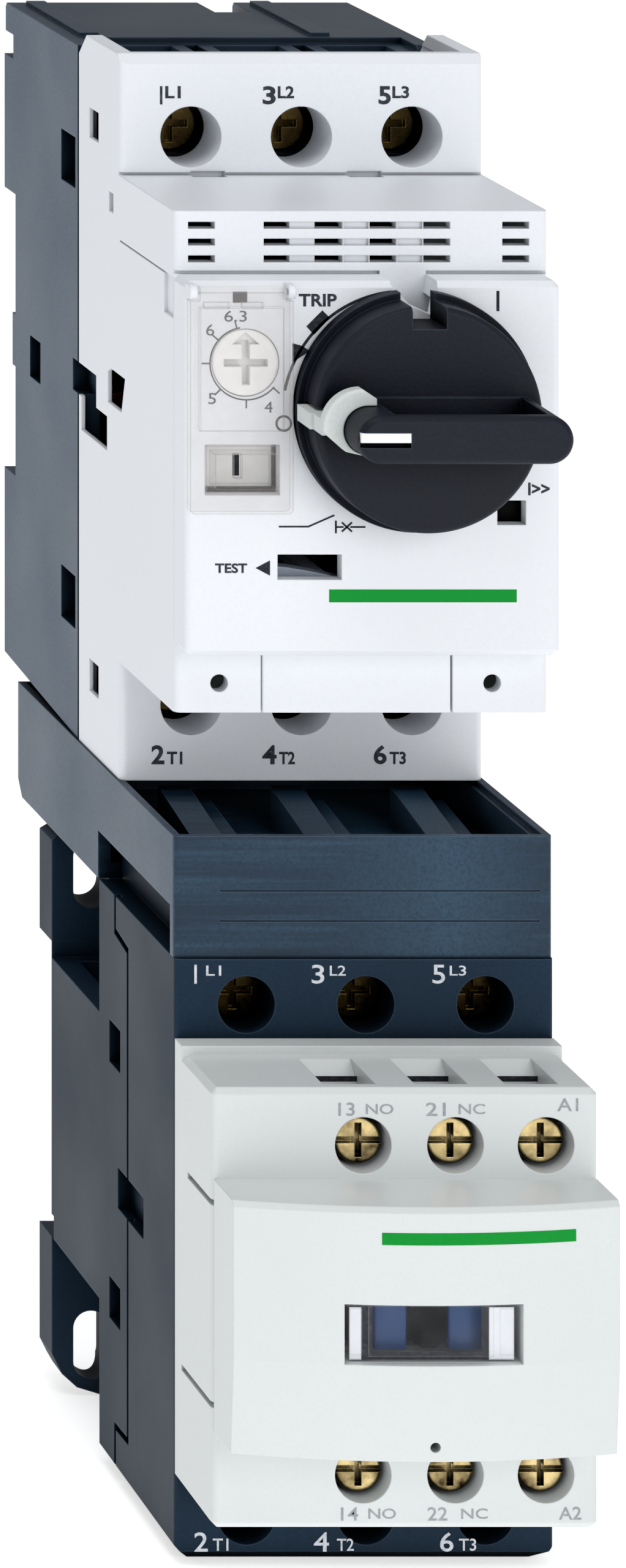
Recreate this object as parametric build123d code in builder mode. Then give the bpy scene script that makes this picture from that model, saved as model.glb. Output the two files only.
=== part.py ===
from build123d import *
import os

# Motor starter on a rail: a rotary circuit breaker, a link block and a three-pole contactor.
# Millimetres. x runs across, z runs up, and the front faces look along -y.
# "out" is the distance in front of the rail plane, so out = -y.
# The origin is on the rail's centre line, in the plane of the breaker's back.

os.makedirs("parts", exist_ok=True)

# Breaker: outer sizes
breaker_half = 22.25
breaker_up = 44.5
base_top = 42.6
base_back_bottom = -42.5
seam = 36.9
tier_front = 55.9
vent_front = 79.8
panel_front = 84.4
panel_up = 22.2
vent_tier_top = 29.7
wall = 1.8

# Breaker: poles and terminals
pole_pitch = 13.55
pole_half = 6.1
line_z = 34.4
load_z = -35.2
chamber_floor = 8.0
chamber_up = 29.2
clamp_back = 30.5
clamp_front = 41.5
shelf_front = 48.0

# Rail recesses: both take a 35 mm rail
rail_depth = 5.6
rail_half = 18.3

# Knob
knob_x = 4.6
knob_z = 7.2
knob_radius = 13.4
knob_back = 84.9
disc_front = 91.2
handle_front = 102.4
handle_left = -7.1
handle_right = 17.9
handle_thick = 5.6
pointer_span = (-6.9, -1.1)
pointer_z = 7.0
tab_radius = 4.7
tab_x = -4.8
tab_front = 96.6
shaft_back = 44.0
hub_radius = 4.5

# Setting dial and sealing cover
dial_x = -15.1
dial_z = 12.6
dial_radius = 3.95
flap_left = -22.05
flap_right = -9.85
flap_bottom = -5.0
flap_hinge_z = 21.2
flap_hinge_out = 85.3

# Moving contacts of the breaker
bridge_z = 12.0
bridge_half = 8.0

# Link block
block_half = 22.5
block_back = 7.9
block_step = 46.8
block_front = 80.5
block_top = -44.5
block_low = -59.0
block_side_low = -53.1

# Contactor: outer sizes
half = 22.5
back = 18.7
ear_front = 24.7
top = -59.0
collar_top = -54.0
bottom = -131.0
centre_z = -91.0
notch_front = 47.4
notch_top = -75.4
notch_bottom = -110.9
notch_in = 12.8
housing_front = 81.0
cover_back = 81.5
cover_front = 96.6
cover_top = -69.5
cover_bottom = -120.8
ear_slot_x = 17.5
ear_slot_z = (-64.7, -124.7)
ear_slot_width = 4.5
ear_slot_height = 8.7

# Contactor: poles, screws and moving parts
power_pitch = 14.2
power_x0 = 0.2
power_z = (-64.4, -125.2)
aux_x = (-4.9, 5.85, 16.4)
aux_z = (-76.1, -114.5)
magnet_half = 17.5
stack_half = 7.0
core_back = 27.4
core_face = 42.0
armature_face = 46.5
armature_front = 62.5
cover_bulge = 107.1
cover_edge = 104.5
raised_top = -80.0
raised_crease = -98.2
raised_bottom = -109.5
window = (-10.1, 10.5, -98.1, -91.15)

poles = (-pole_pitch, 0.0, pole_pitch)
power_poles = (power_x0 - power_pitch, power_x0, power_x0 + power_pitch)


# ---------------------------------------------------------------- helpers

def side_plane(x):
    """Sketch plane square to x: first value is out, second is up. It extrudes towards -x."""
    return Plane(origin=(x, 0, 0), x_dir=(0, -1, 0), z_dir=(-1, 0, 0))


def front_plane(out):
    """Sketch plane square to y: first value is x, second is up. It extrudes outwards."""
    return Plane(origin=(0, -out, 0), x_dir=(1, 0, 0), z_dir=(0, -1, 0))


def top_plane(z):
    """Sketch plane square to z: first value is x, second is out. It extrudes downwards."""
    return Plane(origin=(0, 0, z), x_dir=(1, 0, 0), z_dir=(0, 0, -1))


def block(across, out, up, mode=Mode.ADD):
    """A straight block from its three spans."""
    middle = (sum(across) / 2, -sum(out) / 2, sum(up) / 2)
    with Locations(middle):
        Box(across[1] - across[0], out[1] - out[0], abs(up[1] - up[0]), mode=mode)


def polygon_side(points, across, mode=Mode.ADD):
    """A polygon of (out, up) points, extruded over a span of x."""
    with BuildSketch(side_plane(across[1])) as profile:
        with BuildLine():
            Polyline(points, close=True)
        make_face()
    extrude(profile.sketch, amount=across[1] - across[0], mode=mode)


def polygon_front(points, out, mode=Mode.ADD):
    """A polygon of (x, up) points, extruded over a span of out."""
    with BuildSketch(front_plane(out[0])) as profile:
        with BuildLine():
            Polyline(points, close=True)
        make_face()
    extrude(profile.sketch, amount=out[1] - out[0], mode=mode)


def rod(x, z, radius, out, mode=Mode.ADD):
    """A round rod or hole along the out direction."""
    with BuildSketch(front_plane(out[0])) as disc:
        with Locations((x, z)):
            Circle(radius)
    extrude(disc.sketch, amount=out[1] - out[0], mode=mode)


def rod_across(out, z, radius, across, mode=Mode.ADD):
    """A round rod or hole along x."""
    with BuildSketch(side_plane(across[1])) as disc:
        with Locations((out, z)):
            Circle(radius)
    extrude(disc.sketch, amount=across[1] - across[0], mode=mode)


def spring(x, z, radius, wire, out, turns):
    """A compression spring along the out direction, with its wire inside the given span."""
    length = out[1] - out[0] - 2 * wire
    start = Plane(origin=(x, -out[0] - wire, z), x_dir=(1, 0, 0), z_dir=(0, -1, 0))
    coil = Helix(pitch=length / turns, height=length, radius=radius - wire)
    path = start * coil
    with BuildSketch(Plane(origin=path @ 0, z_dir=path % 0)) as section:
        Circle(wire)
    sweep(section.sketch, path=path, is_frenet=True)


def spring_up(x, out, radius, wire, up, turns):
    """A compression spring along z, with its wire inside the given span."""
    length = up[1] - up[0] - 2 * wire
    start = Plane(origin=(x, -out, up[0] + wire), x_dir=(1, 0, 0), z_dir=(0, 0, 1))
    path = start * Helix(pitch=length / turns, height=length, radius=radius - wire)
    with BuildSketch(Plane(origin=path @ 0, z_dir=path % 0)) as section:
        Circle(wire)
    sweep(section.sketch, path=path, is_frenet=True)


def cage(x, width, out, up, way, roof):
    """A terminal cage round a wire way along z, with a thick roof for the screw thread."""
    block((x - width / 2, x + width / 2), out, up)
    inner = (out[0] + 1.3, out[1] - roof)
    block((x - way / 2, x + way / 2), inner, (up[0] - 1, up[1] + 1), mode=Mode.SUBTRACT)


def screw(x, z, head, shank, tip, under, front):
    """A terminal screw: shank from tip to under, and a domed head with a cross and a slot."""
    rod(x, z, shank, (tip, under))
    rod(x, z, head, (under, front))
    reach = head * 0.72
    block((x - reach, x + reach), (front - 1.1, front + 1), (z - 0.45, z + 0.45), mode=Mode.SUBTRACT)
    block((x - 0.45, x + 0.45), (front - 1.1, front + 1), (z - reach, z + reach), mode=Mode.SUBTRACT)


# ---------------------------------------------------------------- breaker casing

def make_breaker_base():
    """Dark rear shell: rail recess behind, three pole chambers and six terminal pockets in front."""
    with BuildPart() as base:
        profile = [
            (0, base_back_bottom), (0, -rail_half), (rail_depth, -rail_half),
            (rail_depth, -4.1), (4.1, -4.1), (4.1, 2.7), (rail_depth, 2.7),
            (rail_depth, rail_half), (0, rail_half), (0, 35.8), (4.5, 35.8), (4.5, 38.9),
            (0.6, 38.9), (0.6, base_top), (seam, base_top), (seam, -breaker_up),
        ]
        polygon_side(profile, (-breaker_half, breaker_half))
        upright = base.edges().filter_by(Axis.X).group_by(Axis.Z)[-1]
        chamfer(upright, 0.6)
        # Terminal shelves that reach forward inside the cover, and their step in the top
        for z_low, z_high in ((30.6, 41.8), (-42.4, -31.4)):
            block((-20.2, 20.2), (seam - 2, shelf_front), (z_low, z_high))
        block((-20.2, 20.2), (30.2, seam + 1), (41.8, 43), mode=Mode.SUBTRACT)
        for x in poles:
            # pole chamber
            block((x - pole_half, x + pole_half), (chamber_floor, seam), (-chamber_up, chamber_up),
                  mode=Mode.SUBTRACT)
            for sign, z in ((1, line_z), (-1, load_z)):
                inner, outer = z - sign * 3.4, z + sign * 6.2
                pocket = (min(inner, outer), max(inner, outer))
                block((x - 4.8, x + 4.8), (28, shelf_front), pocket, mode=Mode.SUBTRACT)
                # wire way through the end wall, and the slot that the fixed contact passes
                way = (min(outer, sign * 46), max(outer, sign * 46))
                block((x - 4.3, x + 4.3), (31.5, 44), way, mode=Mode.SUBTRACT)
                slot = (min(inner, sign * 28), max(inner, sign * 28))
                block((x - 3.1, x + 3.1), (31.7, 33.4), slot, mode=Mode.SUBTRACT)
        # Gaps between the poles in the top face
        for x in (-pole_pitch / 2, pole_pitch / 2):
            block((x - 0.9, x + 0.9), (31, 46), (37.8, 44), mode=Mode.SUBTRACT)
        # Room for the contact bar across the partitions
        block((-19.9, 19.9), (29, seam + 1), (7.6, 16.4), mode=Mode.SUBTRACT)
        # Raised channel edges on the top face and the notch in the back edge
        block((-20.2, -17.8), (3, 29.5), (42.6, 43.1))
        block((9.0, 11.4), (3, 29.5), (42.6, 43.1))
        block((2.6, 7.4), (-1, 9.5), (38.9, 44), mode=Mode.SUBTRACT)
        # Catch slots in both side walls, mirrored top and bottom
        for side in (-1, 1):
            x_in, x_out = side * (breaker_half - 2.1), side * (breaker_half + 1)
            across = (min(x_in, x_out), max(x_in, x_out))
            for up in ((24.4, 30.8), (-31.0, -24.4)):
                block(across, (28.4, 35.2), up, mode=Mode.SUBTRACT)
                x_hook = side * (breaker_half - 1.2)
                hook = (min(x_hook, side * 20.0), max(x_hook, side * 20.0))
                block(hook, (30.6, 33.4), (up[0] + 1.2, up[1] - 1.2))
            block(across, (13.0, 18.2), (-3.8, 1.5), mode=Mode.SUBTRACT)
            block(across, (34.0, seam + 1), (-1.1, 2.9), mode=Mode.SUBTRACT)
            # Shadow gap along the joint with the pale cover
            x_gap = side * (breaker_half - 0.4)
            gap = (min(x_gap, x_out), max(x_gap, x_out))
            block(gap, (seam - 0.6, seam + 1), (-46, 44), mode=Mode.SUBTRACT)
        # Guide of the rail clip
        block((-6.2, 6.2), (0.9, 3.0), (-46, -rail_half + 1), mode=Mode.SUBTRACT)
        block((-6.2, 6.2), (2.9, 4.9), (-31.2, -rail_half + 1), mode=Mode.SUBTRACT)
    base.part.label = "breaker_base"
    export_step(base.part, "parts/breaker_base.step")


def make_breaker_cover():
    """Pale front shell in steps: a terminal tier at each end and the deeper tier between."""
    lower = -30.0
    with BuildPart() as cover:
        outer = [
            (seam, -breaker_up), (tier_front, -breaker_up), (tier_front, lower),
            (vent_front, lower), (vent_front, vent_tier_top), (tier_front, vent_tier_top),
            (tier_front, breaker_up), (seam, breaker_up),
        ]
        polygon_side(outer, (-breaker_half, breaker_half))
        long_edges = cover.edges().filter_by(Axis.X).filter_by(
            lambda e: abs(e.center().Z - breaker_up) < 0.1 and -e.center().Y > seam + 1)
        chamfer(long_edges, 1.2)
        front_sides = cover.edges().filter_by(Axis.Z).filter_by(lambda e: -e.center().Y > seam + 1)
        fillet(front_sides, 0.9)
        inner = [
            (seam - 1, -42.8), (tier_front - wall, -42.8), (tier_front - wall, lower + wall),
            (vent_front - wall, lower + wall), (vent_front - wall, vent_tier_top - wall),
            (tier_front - wall, vent_tier_top - wall), (tier_front - wall, 42.8), (seam - 1, 42.8),
        ]
        polygon_side(inner, (-breaker_half + wall, breaker_half - wall), mode=Mode.SUBTRACT)
        # Cut corners at the top of the side walls' rear edges
        polygon_side([(seam - 1, breaker_up + 1), (seam + 4.0, breaker_up + 1), (seam + 3.6, breaker_up),
                      (seam, breaker_up - 2.8), (seam - 1, breaker_up - 2.8)],
                     (-breaker_half - 1, breaker_half + 1), mode=Mode.SUBTRACT)
        # The end walls are open between the side walls, over the terminals
        block((-20.3, 20.3), (seam - 1, tier_front - 2.4), (41.9, 46), mode=Mode.SUBTRACT)
        block((-20.3, 20.3), (seam - 1, tier_front - 2.4), (-46, -42.5), mode=Mode.SUBTRACT)
        # Screw wells with collars round the heads
        for x in poles:
            for z in (line_z, load_z):
                rod(x, z, 4.6, (shelf_front + 0.2, tier_front - wall))
                rod(x, z, 3.75, (shelf_front, tier_front + 1), mode=Mode.SUBTRACT)
        # Vent slots: dark ones go through, pale ones between are shallow
        for z in (28.0, 26.0, 24.0):
            for x in (-19.0, -10.0, -3.8, 2.6, 9.0, 18.4):
                block((x - 1.6, x + 1.6), (vent_front - wall - 1, vent_front + 1), (z - 0.42, z + 0.42),
                      mode=Mode.SUBTRACT)
            for x in (-6.9, -0.6, 5.8):
                block((x - 1.5, x + 1.5), (vent_front - 0.5, vent_front + 1), (z - 0.42, z + 0.42),
                      mode=Mode.SUBTRACT)
        # Two latch notches under the upper terminal tier
        for x in (-11.5, 7.7):
            block((x - 2.1, x + 2.1), (tier_front - 0.9, tier_front + 1.2), (28.9, 30.2),
                  mode=Mode.SUBTRACT)
        # Catch windows in the side walls
        for side in (-1, 1):
            x_in, x_out = side * (breaker_half - wall - 0.5), side * (breaker_half + 1)
            across = (min(x_in, x_out), max(x_in, x_out))
            thin_in, thin_out = side * (breaker_half - wall - 0.5), side * (breaker_half - 0.5)
            relief = (min(thin_in, thin_out), max(thin_in, thin_out))
            # The wall is thinned from inside round each window
            for up in ((31.0, 36.7), (-38.0, -32.0)):
                block(relief, (38.5, 47.1), up, mode=Mode.SUBTRACT)
            block(relief, (seam - 1, 59.2), (-6.3, 6.2), mode=Mode.SUBTRACT)
            block(across, (41.8, 46.1), (32.0, 35.7), mode=Mode.SUBTRACT)
            block(across, (41.8, 46.1), (-37.0, -33.0), mode=Mode.SUBTRACT)
            block(across, (50.9, 52.9), (24.5, 26.9), mode=Mode.SUBTRACT)
            polygon_side([(50.4, 4.6), (50.4, 0.8), (56.6, 0.8), (58.2, 5.2), (51.6, 5.2)], across,
                         mode=Mode.SUBTRACT)
            block(across, (seam - 1, 45.0), (-1.1, 2.9), mode=Mode.SUBTRACT)
            block(across, (38.0, 50.0), (-5.3, -1.1), mode=Mode.SUBTRACT)
        # Opening behind the front panel, for the dial, the slider and the knob shaft
        block((-20.3, 20.3), (vent_front - wall - 1, vent_front + 1), (-20.0, 16.2), mode=Mode.SUBTRACT)
        # Shadow gaps above the front panel and under the upper terminal tier
        for across in ((-24, 2.2), (7.7, 24)):
            block(across, (vent_front - 0.6, vent_front + 1), (panel_up, panel_up + 0.4), mode=Mode.SUBTRACT)
        block((-24, 24), (tier_front - 0.7, tier_front + 1), (vent_tier_top, vent_tier_top + 0.35),
              mode=Mode.SUBTRACT)
        # Shallow slot and step line in both sides of the vent tier
        for x0, x1 in ((-24, -21.85), (21.85, 24)):
            block((x0, x1), (75.5, 79.2), (16.9, 21.8), mode=Mode.SUBTRACT)
            block((x0, x1), (tier_front, 75.5), (21.6, 21.8), mode=Mode.SUBTRACT)
        # Seat of the loose flap in the lower tier, and the two fixing holes beside it
        block((-11.95, 10.9), (77.0, vent_front + 1), (-31, -22.3), mode=Mode.SUBTRACT)
        for x in (-16.9, 15.6):
            rod(x, -26.5, 1.05, (vent_front - 3, vent_front + 1), mode=Mode.SUBTRACT)
    cover.part.label = "breaker_cover"
    export_step(cover.part, "parts/breaker_cover.step")


def make_front_panel():
    """Front panel that carries the dial, the sealing cover, the test slider and the knob."""
    with BuildPart() as panel:
        block((-breaker_half, breaker_half), (vent_front, panel_front), (-panel_up, panel_up))
        fillet(panel.edges().filter_by(Axis.Z).group_by(Axis.Y)[0], 1.0)
        chamfer(panel.edges().filter_by(Axis.X).group_by(Axis.Y)[0], 0.7)
        # Thinned behind, so that the panel is a shell with a rim
        block((-20.3, 20.3), (vent_front - 1, 82.6), (-20.0, 20.0), mode=Mode.SUBTRACT)
        notch = [(2.2, 24), (7.7, 24), (7.7, 21.9), (7.0, 18.2), (4.4, 19.4), (2.2, 21.7)]
        polygon_front(notch, (vent_front - 1, panel_front + 1), mode=Mode.SUBTRACT)
        rod(knob_x, knob_z, hub_radius + 0.07, (vent_front - 1, panel_front + 1), mode=Mode.SUBTRACT)
        rod(dial_x, dial_z, dial_radius + 0.08, (vent_front - 1, panel_front + 1), mode=Mode.SUBTRACT)
        # Pocket behind the sealing cover, test slot and magnetic trip window
        block((-19.9, -11.0), (82.0, panel_front + 1), (-3.1, 2.9), mode=Mode.SUBTRACT)
        block((-11.3, -3.7), (vent_front - 1, panel_front + 1), (-13.1, -10.1), mode=Mode.SUBTRACT)
        block((14.7, 18.1), (vent_front - 1, panel_front + 1), (-6.6, -3.7), mode=Mode.SUBTRACT)
        # Hinge lugs of the sealing cover, with a hole for its pivots
        for span in ((-22.1, -21.2), (-10.4, -9.6)):
            block(span, (panel_front - 0.5, flap_hinge_out), (20.4, 22.0))
            rod_across(flap_hinge_out, flap_hinge_z, 0.85, span)
        rod_across(flap_hinge_out, flap_hinge_z, 0.42, (-22.0, -9.7), mode=Mode.SUBTRACT)
    panel.part.label = "breaker_front_panel"
    export_step(panel.part, "parts/breaker_front_panel.step")


def make_aux_flap():
    """Loose rectangular flap in the middle of the lower tier, over the auxiliary contact bay."""
    with BuildPart() as flap:
        block((-11.75, 10.7), (77.2, vent_front), (-30.0, -22.35))
        fillet(flap.edges().filter_by(Axis.Z).group_by(Axis.Y)[0], 0.3)
        block((-10.2, 9.2), (77.0, 78.2), (-28.6, -23.6), mode=Mode.SUBTRACT)
    flap.part.label = "breaker_aux_flap"
    export_step(flap.part, "parts/breaker_aux_flap.step")


def make_rail_clip():
    """Sprung slide under the rail recess, whose lip hooks behind the rail's lower edge."""
    with BuildPart() as clip:
        block((-6.0, 6.0), (1.2, 2.8), (-40.5, -18.0))
        block((-6.0, 6.0), (2.2, 4.2), (-18.4, -16.6))
        block((-6.0, 6.0), (1.2, 4.2), (-19.6, -18.0))
        fillet(clip.edges().filter_by(Axis.Y).group_by(Axis.Z)[0], 1.5)
        rod(0, -37.0, 1.6, (0, 4), mode=Mode.SUBTRACT)
    clip.part.label = "breaker_rail_clip"
    export_step(clip.part, "parts/breaker_rail_clip.step")


# ---------------------------------------------------------------- breaker front pieces

def handle_outline(out, gap):
    """Round-ended outline of the knob's handle on the front plane at out, gap wider all round."""
    with BuildSketch(front_plane(out)) as outline:
        with Locations(((handle_left + handle_right) / 2, knob_z)):
            SlotOverall(handle_right - handle_left + 2 * gap, handle_thick + 2 * gap)
    return outline.sketch


def make_knob():
    """Rotary knob: a stepped disc with a notch in its rim and a tall straight handle across it."""
    with BuildPart() as knob:
        rod(knob_x, knob_z, knob_radius + 0.85, (knob_back, knob_back + 1.6))
        rod(knob_x, knob_z, knob_radius, (knob_back + 1.6, disc_front))
        rim = knob.edges().filter_by(GeomType.CIRCLE).group_by(Axis.Y)[0]
        fillet(rim, 0.8)
        rod(knob_x, knob_z, hub_radius, (78.0, knob_back))
        extrude(handle_outline(disc_front - 1, 0), amount=handle_front - disc_front + 1)
        lip = knob.edges().group_by(Axis.Y)[0]
        fillet(lip, 0.9)
        # Square socket for the shaft, rim notch and the hollow in the handle's upper side
        block((knob_x - 2.55, knob_x + 2.55), (77, 90.1), (knob_z - 2.55, knob_z + 2.55),
              mode=Mode.SUBTRACT)
        block((knob_x - 2.0, knob_x + 2.0), (knob_back - 1, disc_front + 1), (knob_z + 10.7, knob_z + 15),
              mode=Mode.SUBTRACT)
        block((knob_x - 7.2, knob_x + 10.6), (disc_front + 0.4, 100.9), (knob_z - 1.6, knob_z + 4),
              mode=Mode.SUBTRACT)
        # Groove of the pointer line, and the slide way of the lock tab's stem in the disc
        left, right = pointer_span
        block((left, right), (handle_front - 0.6, handle_front + 1), (pointer_z, pointer_z + 1.1),
              mode=Mode.SUBTRACT)
        block((left, right), (handle_front - 0.9, handle_front + 1), (pointer_z - 0.6, pointer_z),
              mode=Mode.SUBTRACT)
        block((-11, -6.4), (86.8, disc_front + 1), (knob_z - 1.2, knob_z + 1.5), mode=Mode.SUBTRACT)
    knob.part.label = "knob"
    export_step(knob.part, "parts/knob.step")


def make_knob_pointer():
    """Pale pointer line, let into the handle's front."""
    with BuildPart() as pointer:
        block(pointer_span, (handle_front - 0.6, handle_front), (pointer_z, pointer_z + 1.1))
    pointer.part.label = "knob_pointer"
    export_step(pointer.part, "parts/knob_pointer.step")


def make_knob_shaft():
    """Square steel shaft from the mechanism to the knob, with a round collar."""
    with BuildPart() as shaft:
        block((knob_x - 2.5, knob_x + 2.5), (shaft_back, 90.0), (knob_z - 2.5, knob_z + 2.5))
        rod(knob_x, knob_z, 4.2, (61.0, 63.0))
    shaft.part.label = "knob_shaft"
    export_step(shaft.part, "parts/knob_shaft.step")


def make_drive_cam():
    """Cam on the shaft that pushes the contact bar home."""
    with BuildPart() as cam:
        with BuildSketch(front_plane(45.0)) as outline:
            with Locations((knob_x, knob_z)):
                Circle(5.2)
            with Locations((knob_x + 4.0, knob_z)):
                Circle(3.0)
            make_hull()
        extrude(outline.sketch, amount=5)
        block((knob_x - 2.5, knob_x + 2.5), (44, 51), (knob_z - 2.5, knob_z + 2.5), mode=Mode.SUBTRACT)
    cam.part.label = "drive_cam"
    export_step(cam.part, "parts/drive_cam.step")


def make_lock_tab():
    """Grey padlock tab: a crescent plate round the handle's left end, and a stem in the disc's edge."""
    with BuildPart() as tab:
        rod(tab_x, knob_z + 0.1, tab_radius, (tab_front - 1.7, tab_front))
        fillet(tab.edges().filter_by(GeomType.CIRCLE).group_by(Axis.Y)[0], 0.4)
        extrude(handle_outline(disc_front, 0.1), amount=tab_front - disc_front + 1, mode=Mode.SUBTRACT)
        # The crescent's lower horn ends aslant beside the handle, and its upper horn is cut off aslant
        polygon_front([(-12, 6.9), (-9.4, 6.9), (-6.9, 4.7), (-2, 3.6), (-2, 0), (-12, 0)],
                      (disc_front, tab_front + 1), mode=Mode.SUBTRACT)
        polygon_front([(-5.4, 13), (-5.4, 12.3), (-3.3, 10.9), (-3.3, 9.9), (2, 9.9), (2, 13)],
                      (disc_front, tab_front + 1), mode=Mode.SUBTRACT)
        # Riser beside the handle's end, and the stem that lies in the disc's slide way
        block((-9.4, -7.25), (disc_front - 0.2, tab_front - 1.0), (knob_z - 0.8, knob_z + 1.1))
        block((-9.8, -7.25), (87.2, disc_front + 1.0), (knob_z - 0.8, knob_z + 1.1))
        block((-7.3, -6.8), (87.2, 90.9), (knob_z - 0.8, knob_z + 1.1))
    tab.part.label = "knob_lock_tab"
    export_step(tab.part, "parts/knob_lock_tab.step")


def make_setting_dial():
    """Current setting dial: a flat pale disc with a cross slot, on a stem to the trip bar."""
    with BuildPart() as dial:
        rod(dial_x, dial_z, dial_radius, (82.8, panel_front + 0.2))
        fillet(dial.edges().filter_by(GeomType.CIRCLE).group_by(Axis.Y)[0], 0.4)
        rod(dial_x, dial_z, 2.2, (62.0, 82.8))
        for across, up in ((2.6, 0.45), (0.45, 2.6)):
            block((dial_x - across, dial_x + across), (panel_front - 0.9, panel_front + 1),
                  (dial_z - up, dial_z + up), mode=Mode.SUBTRACT)
        polygon_front([(dial_x - 1.6, dial_z + 2.2), (dial_x, dial_z + 3.6), (dial_x + 1.6, dial_z + 2.2)],
                      (panel_front - 0.4, panel_front + 1), mode=Mode.SUBTRACT)
        # Eccentric that leans on the trip bar
        rod(dial_x + 0.8, dial_z, 3.4, (58.0, 62.0))
    dial.part.label = "setting_dial"
    export_step(dial.part, "parts/setting_dial.step")


def make_sealing_cover():
    """Clear hinged cover over the dial, with a pocket for a seal."""
    with BuildPart() as flap:
        block((flap_left, flap_right), (panel_front + 0.1, panel_front + 1.5), (flap_bottom, 20.2))
        block((-20.9, -10.6), (panel_front + 0.1, panel_front + 1.5), (20.0, 20.9))
        fillet(flap.edges().filter_by(Axis.Y).group_by(Axis.Z)[0], 0.6)
        rod_across(flap_hinge_out, flap_hinge_z, 0.7, (-20.9, -10.6))
        rod_across(flap_hinge_out, flap_hinge_z, 0.36, (-21.9, -9.8))
        # Thin window over the dial, and the pocket that dips into the panel
        block((-20.6, -10.7), (panel_front, panel_front + 0.7), (4.6, 19.2), mode=Mode.SUBTRACT)
        block((-19.7, -11.2), (82.3, panel_front + 0.4), (-2.7, 2.7))
        block((-19.0, -11.9), (83.0, panel_front + 2), (-2.0, 2.0), mode=Mode.SUBTRACT)
        block((-16.0, -15.1), (82, 84), (-1.4, 1.4), mode=Mode.SUBTRACT)
        # Two small windows in the top strip
        for x0, x1 in ((-20.4, -17.4), (-15.9, -13.4)):
            block((x0, x1), (panel_front + 0.9, panel_front + 2), (19.3, 20.0), mode=Mode.SUBTRACT)
    flap.part.label = "sealing_cover"
    export_step(flap.part, "parts/sealing_cover.step")


def make_test_slider():
    """Grey slider low in the test slot, sloping down to the right, with a tail to the trip bar."""
    with BuildPart() as slider:
        polygon_front([(-12.0, -14.4), (-12.0, -11.9), (-9.6, -12.1), (-7.2, -12.5), (-4.8, -13.0),
                       (-2.4, -13.6), (-0.4, -14.2), (-0.4, -14.4)], (80.2, 82.4))
        block((-6.6, -4.6), (52.0, 81.0), (-14.2, -13.0))
    slider.part.label = "test_slider"
    export_step(slider.part, "parts/test_slider.step")


def make_trip_flag():
    """Dark flag behind the magnetic trip window."""
    with BuildPart() as flag:
        block((14.2, 18.6), (80.6, 82.2), (-9.4, -3.0))
        block((15.6, 17.2), (66.0, 80.6), (-8.4, -6.8))
    flag.part.label = "trip_flag"
    export_step(flag.part, "parts/trip_flag.step")


# ---------------------------------------------------------------- breaker inner pieces

def make_breaker_screws():
    """Six terminal screws of the breaker."""
    with BuildPart() as screws:
        for x in poles:
            for z in (line_z, load_z):
                screw(x, z, 3.2, 1.95, 36.6, 43.6, 46.0)
    screws.part.label = "breaker_terminal_screws"
    export_step(screws.part, "parts/breaker_terminal_screws.step")


def make_breaker_clamps():
    """Six brass terminal cages of the breaker, threaded in front."""
    with BuildPart() as cages:
        for x in poles:
            for z, sign in ((line_z, 1), (load_z, -1)):
                span = (z - sign * 3.2, z + sign * 4.2)
                cage(x, 8.8, (clamp_back, clamp_front), (min(span), max(span)), 6.6, 2.7)
                rod(x, z, 2.0, (38, clamp_front + 1), mode=Mode.SUBTRACT)
    cages.part.label = "breaker_terminal_clamps"
    export_step(cages.part, "parts/breaker_terminal_clamps.step")


def make_line_contacts():
    """Copper strips from the upper clamps to the upper fixed tips."""
    tip_z = bridge_z + bridge_half - 1.4
    with BuildPart() as strips:
        for x in poles:
            block((x - 3.0, x + 3.0), (31.9, 33.2), (27.6, 38.2))
            block((x - 3.0, x + 3.0), (16.5, 33.2), (27.6, 29.0))
            block((x - 3.0, x + 3.0), (16.5, 17.9), (tip_z - 2.0, 29.0))
            rod(x, tip_z, 1.7, (17.9, 18.7))
    strips.part.label = "breaker_line_contacts"
    export_step(strips.part, "parts/breaker_line_contacts.step")


def make_coil_contacts():
    """Copper strips from the lower fixed tips to the magnetic coils."""
    tip_z = bridge_z - bridge_half + 1.4
    with BuildPart() as strips:
        for x in poles:
            block((x - 3.0, x + 3.0), (16.5, 17.9), (-3.0, tip_z + 2.0))
            rod(x, tip_z, 1.7, (17.9, 18.7))
    strips.part.label = "breaker_coil_contacts"
    export_step(strips.part, "parts/breaker_coil_contacts.step")


def make_bridges():
    """Three bridging contacts that the contact bar carries."""
    with BuildPart() as bridges:
        for x in poles:
            block((x - 2.4, x + 2.4), (24.0, 25.3), (bridge_z - bridge_half, bridge_z + bridge_half))
            for side in (-1, 1):
                rod(x, bridge_z + side * (bridge_half - 1.4), 1.7, (23.2, 24.0))
    bridges.part.label = "breaker_contact_bridges"
    export_step(bridges.part, "parts/breaker_contact_bridges.step")


def make_contact_bar():
    """Moulded bar across the three poles that presses the bridges home."""
    with BuildPart() as bar:
        block((-19.4, 19.4), (33.6, 38.0), (bridge_z - 3.2, bridge_z + 3.2))
        fillet(bar.edges().filter_by(Axis.X), 0.6)
        for x in poles:
            block((x - 2.6, x + 2.6), (25.3, 34.0), (bridge_z - 2.4, bridge_z + 2.4))
    bar.part.label = "breaker_contact_bar"
    export_step(bar.part, "parts/breaker_contact_bar.step")


def make_arc_chutes():
    """Stacks of steel plates beside each contact gap."""
    with BuildPart() as plates:
        for x in poles:
            for low in (22.4, 24.0, 25.6):
                block((x - 5.6, x + 5.6), (19.5, 30.5), (low, low + 0.8))
                block((x - 2.9, x + 2.9), (19.0, 27.0), (low - 1, low + 2), mode=Mode.SUBTRACT)
    plates.part.label = "breaker_arc_chutes"
    export_step(plates.part, "parts/breaker_arc_chutes.step")


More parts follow.
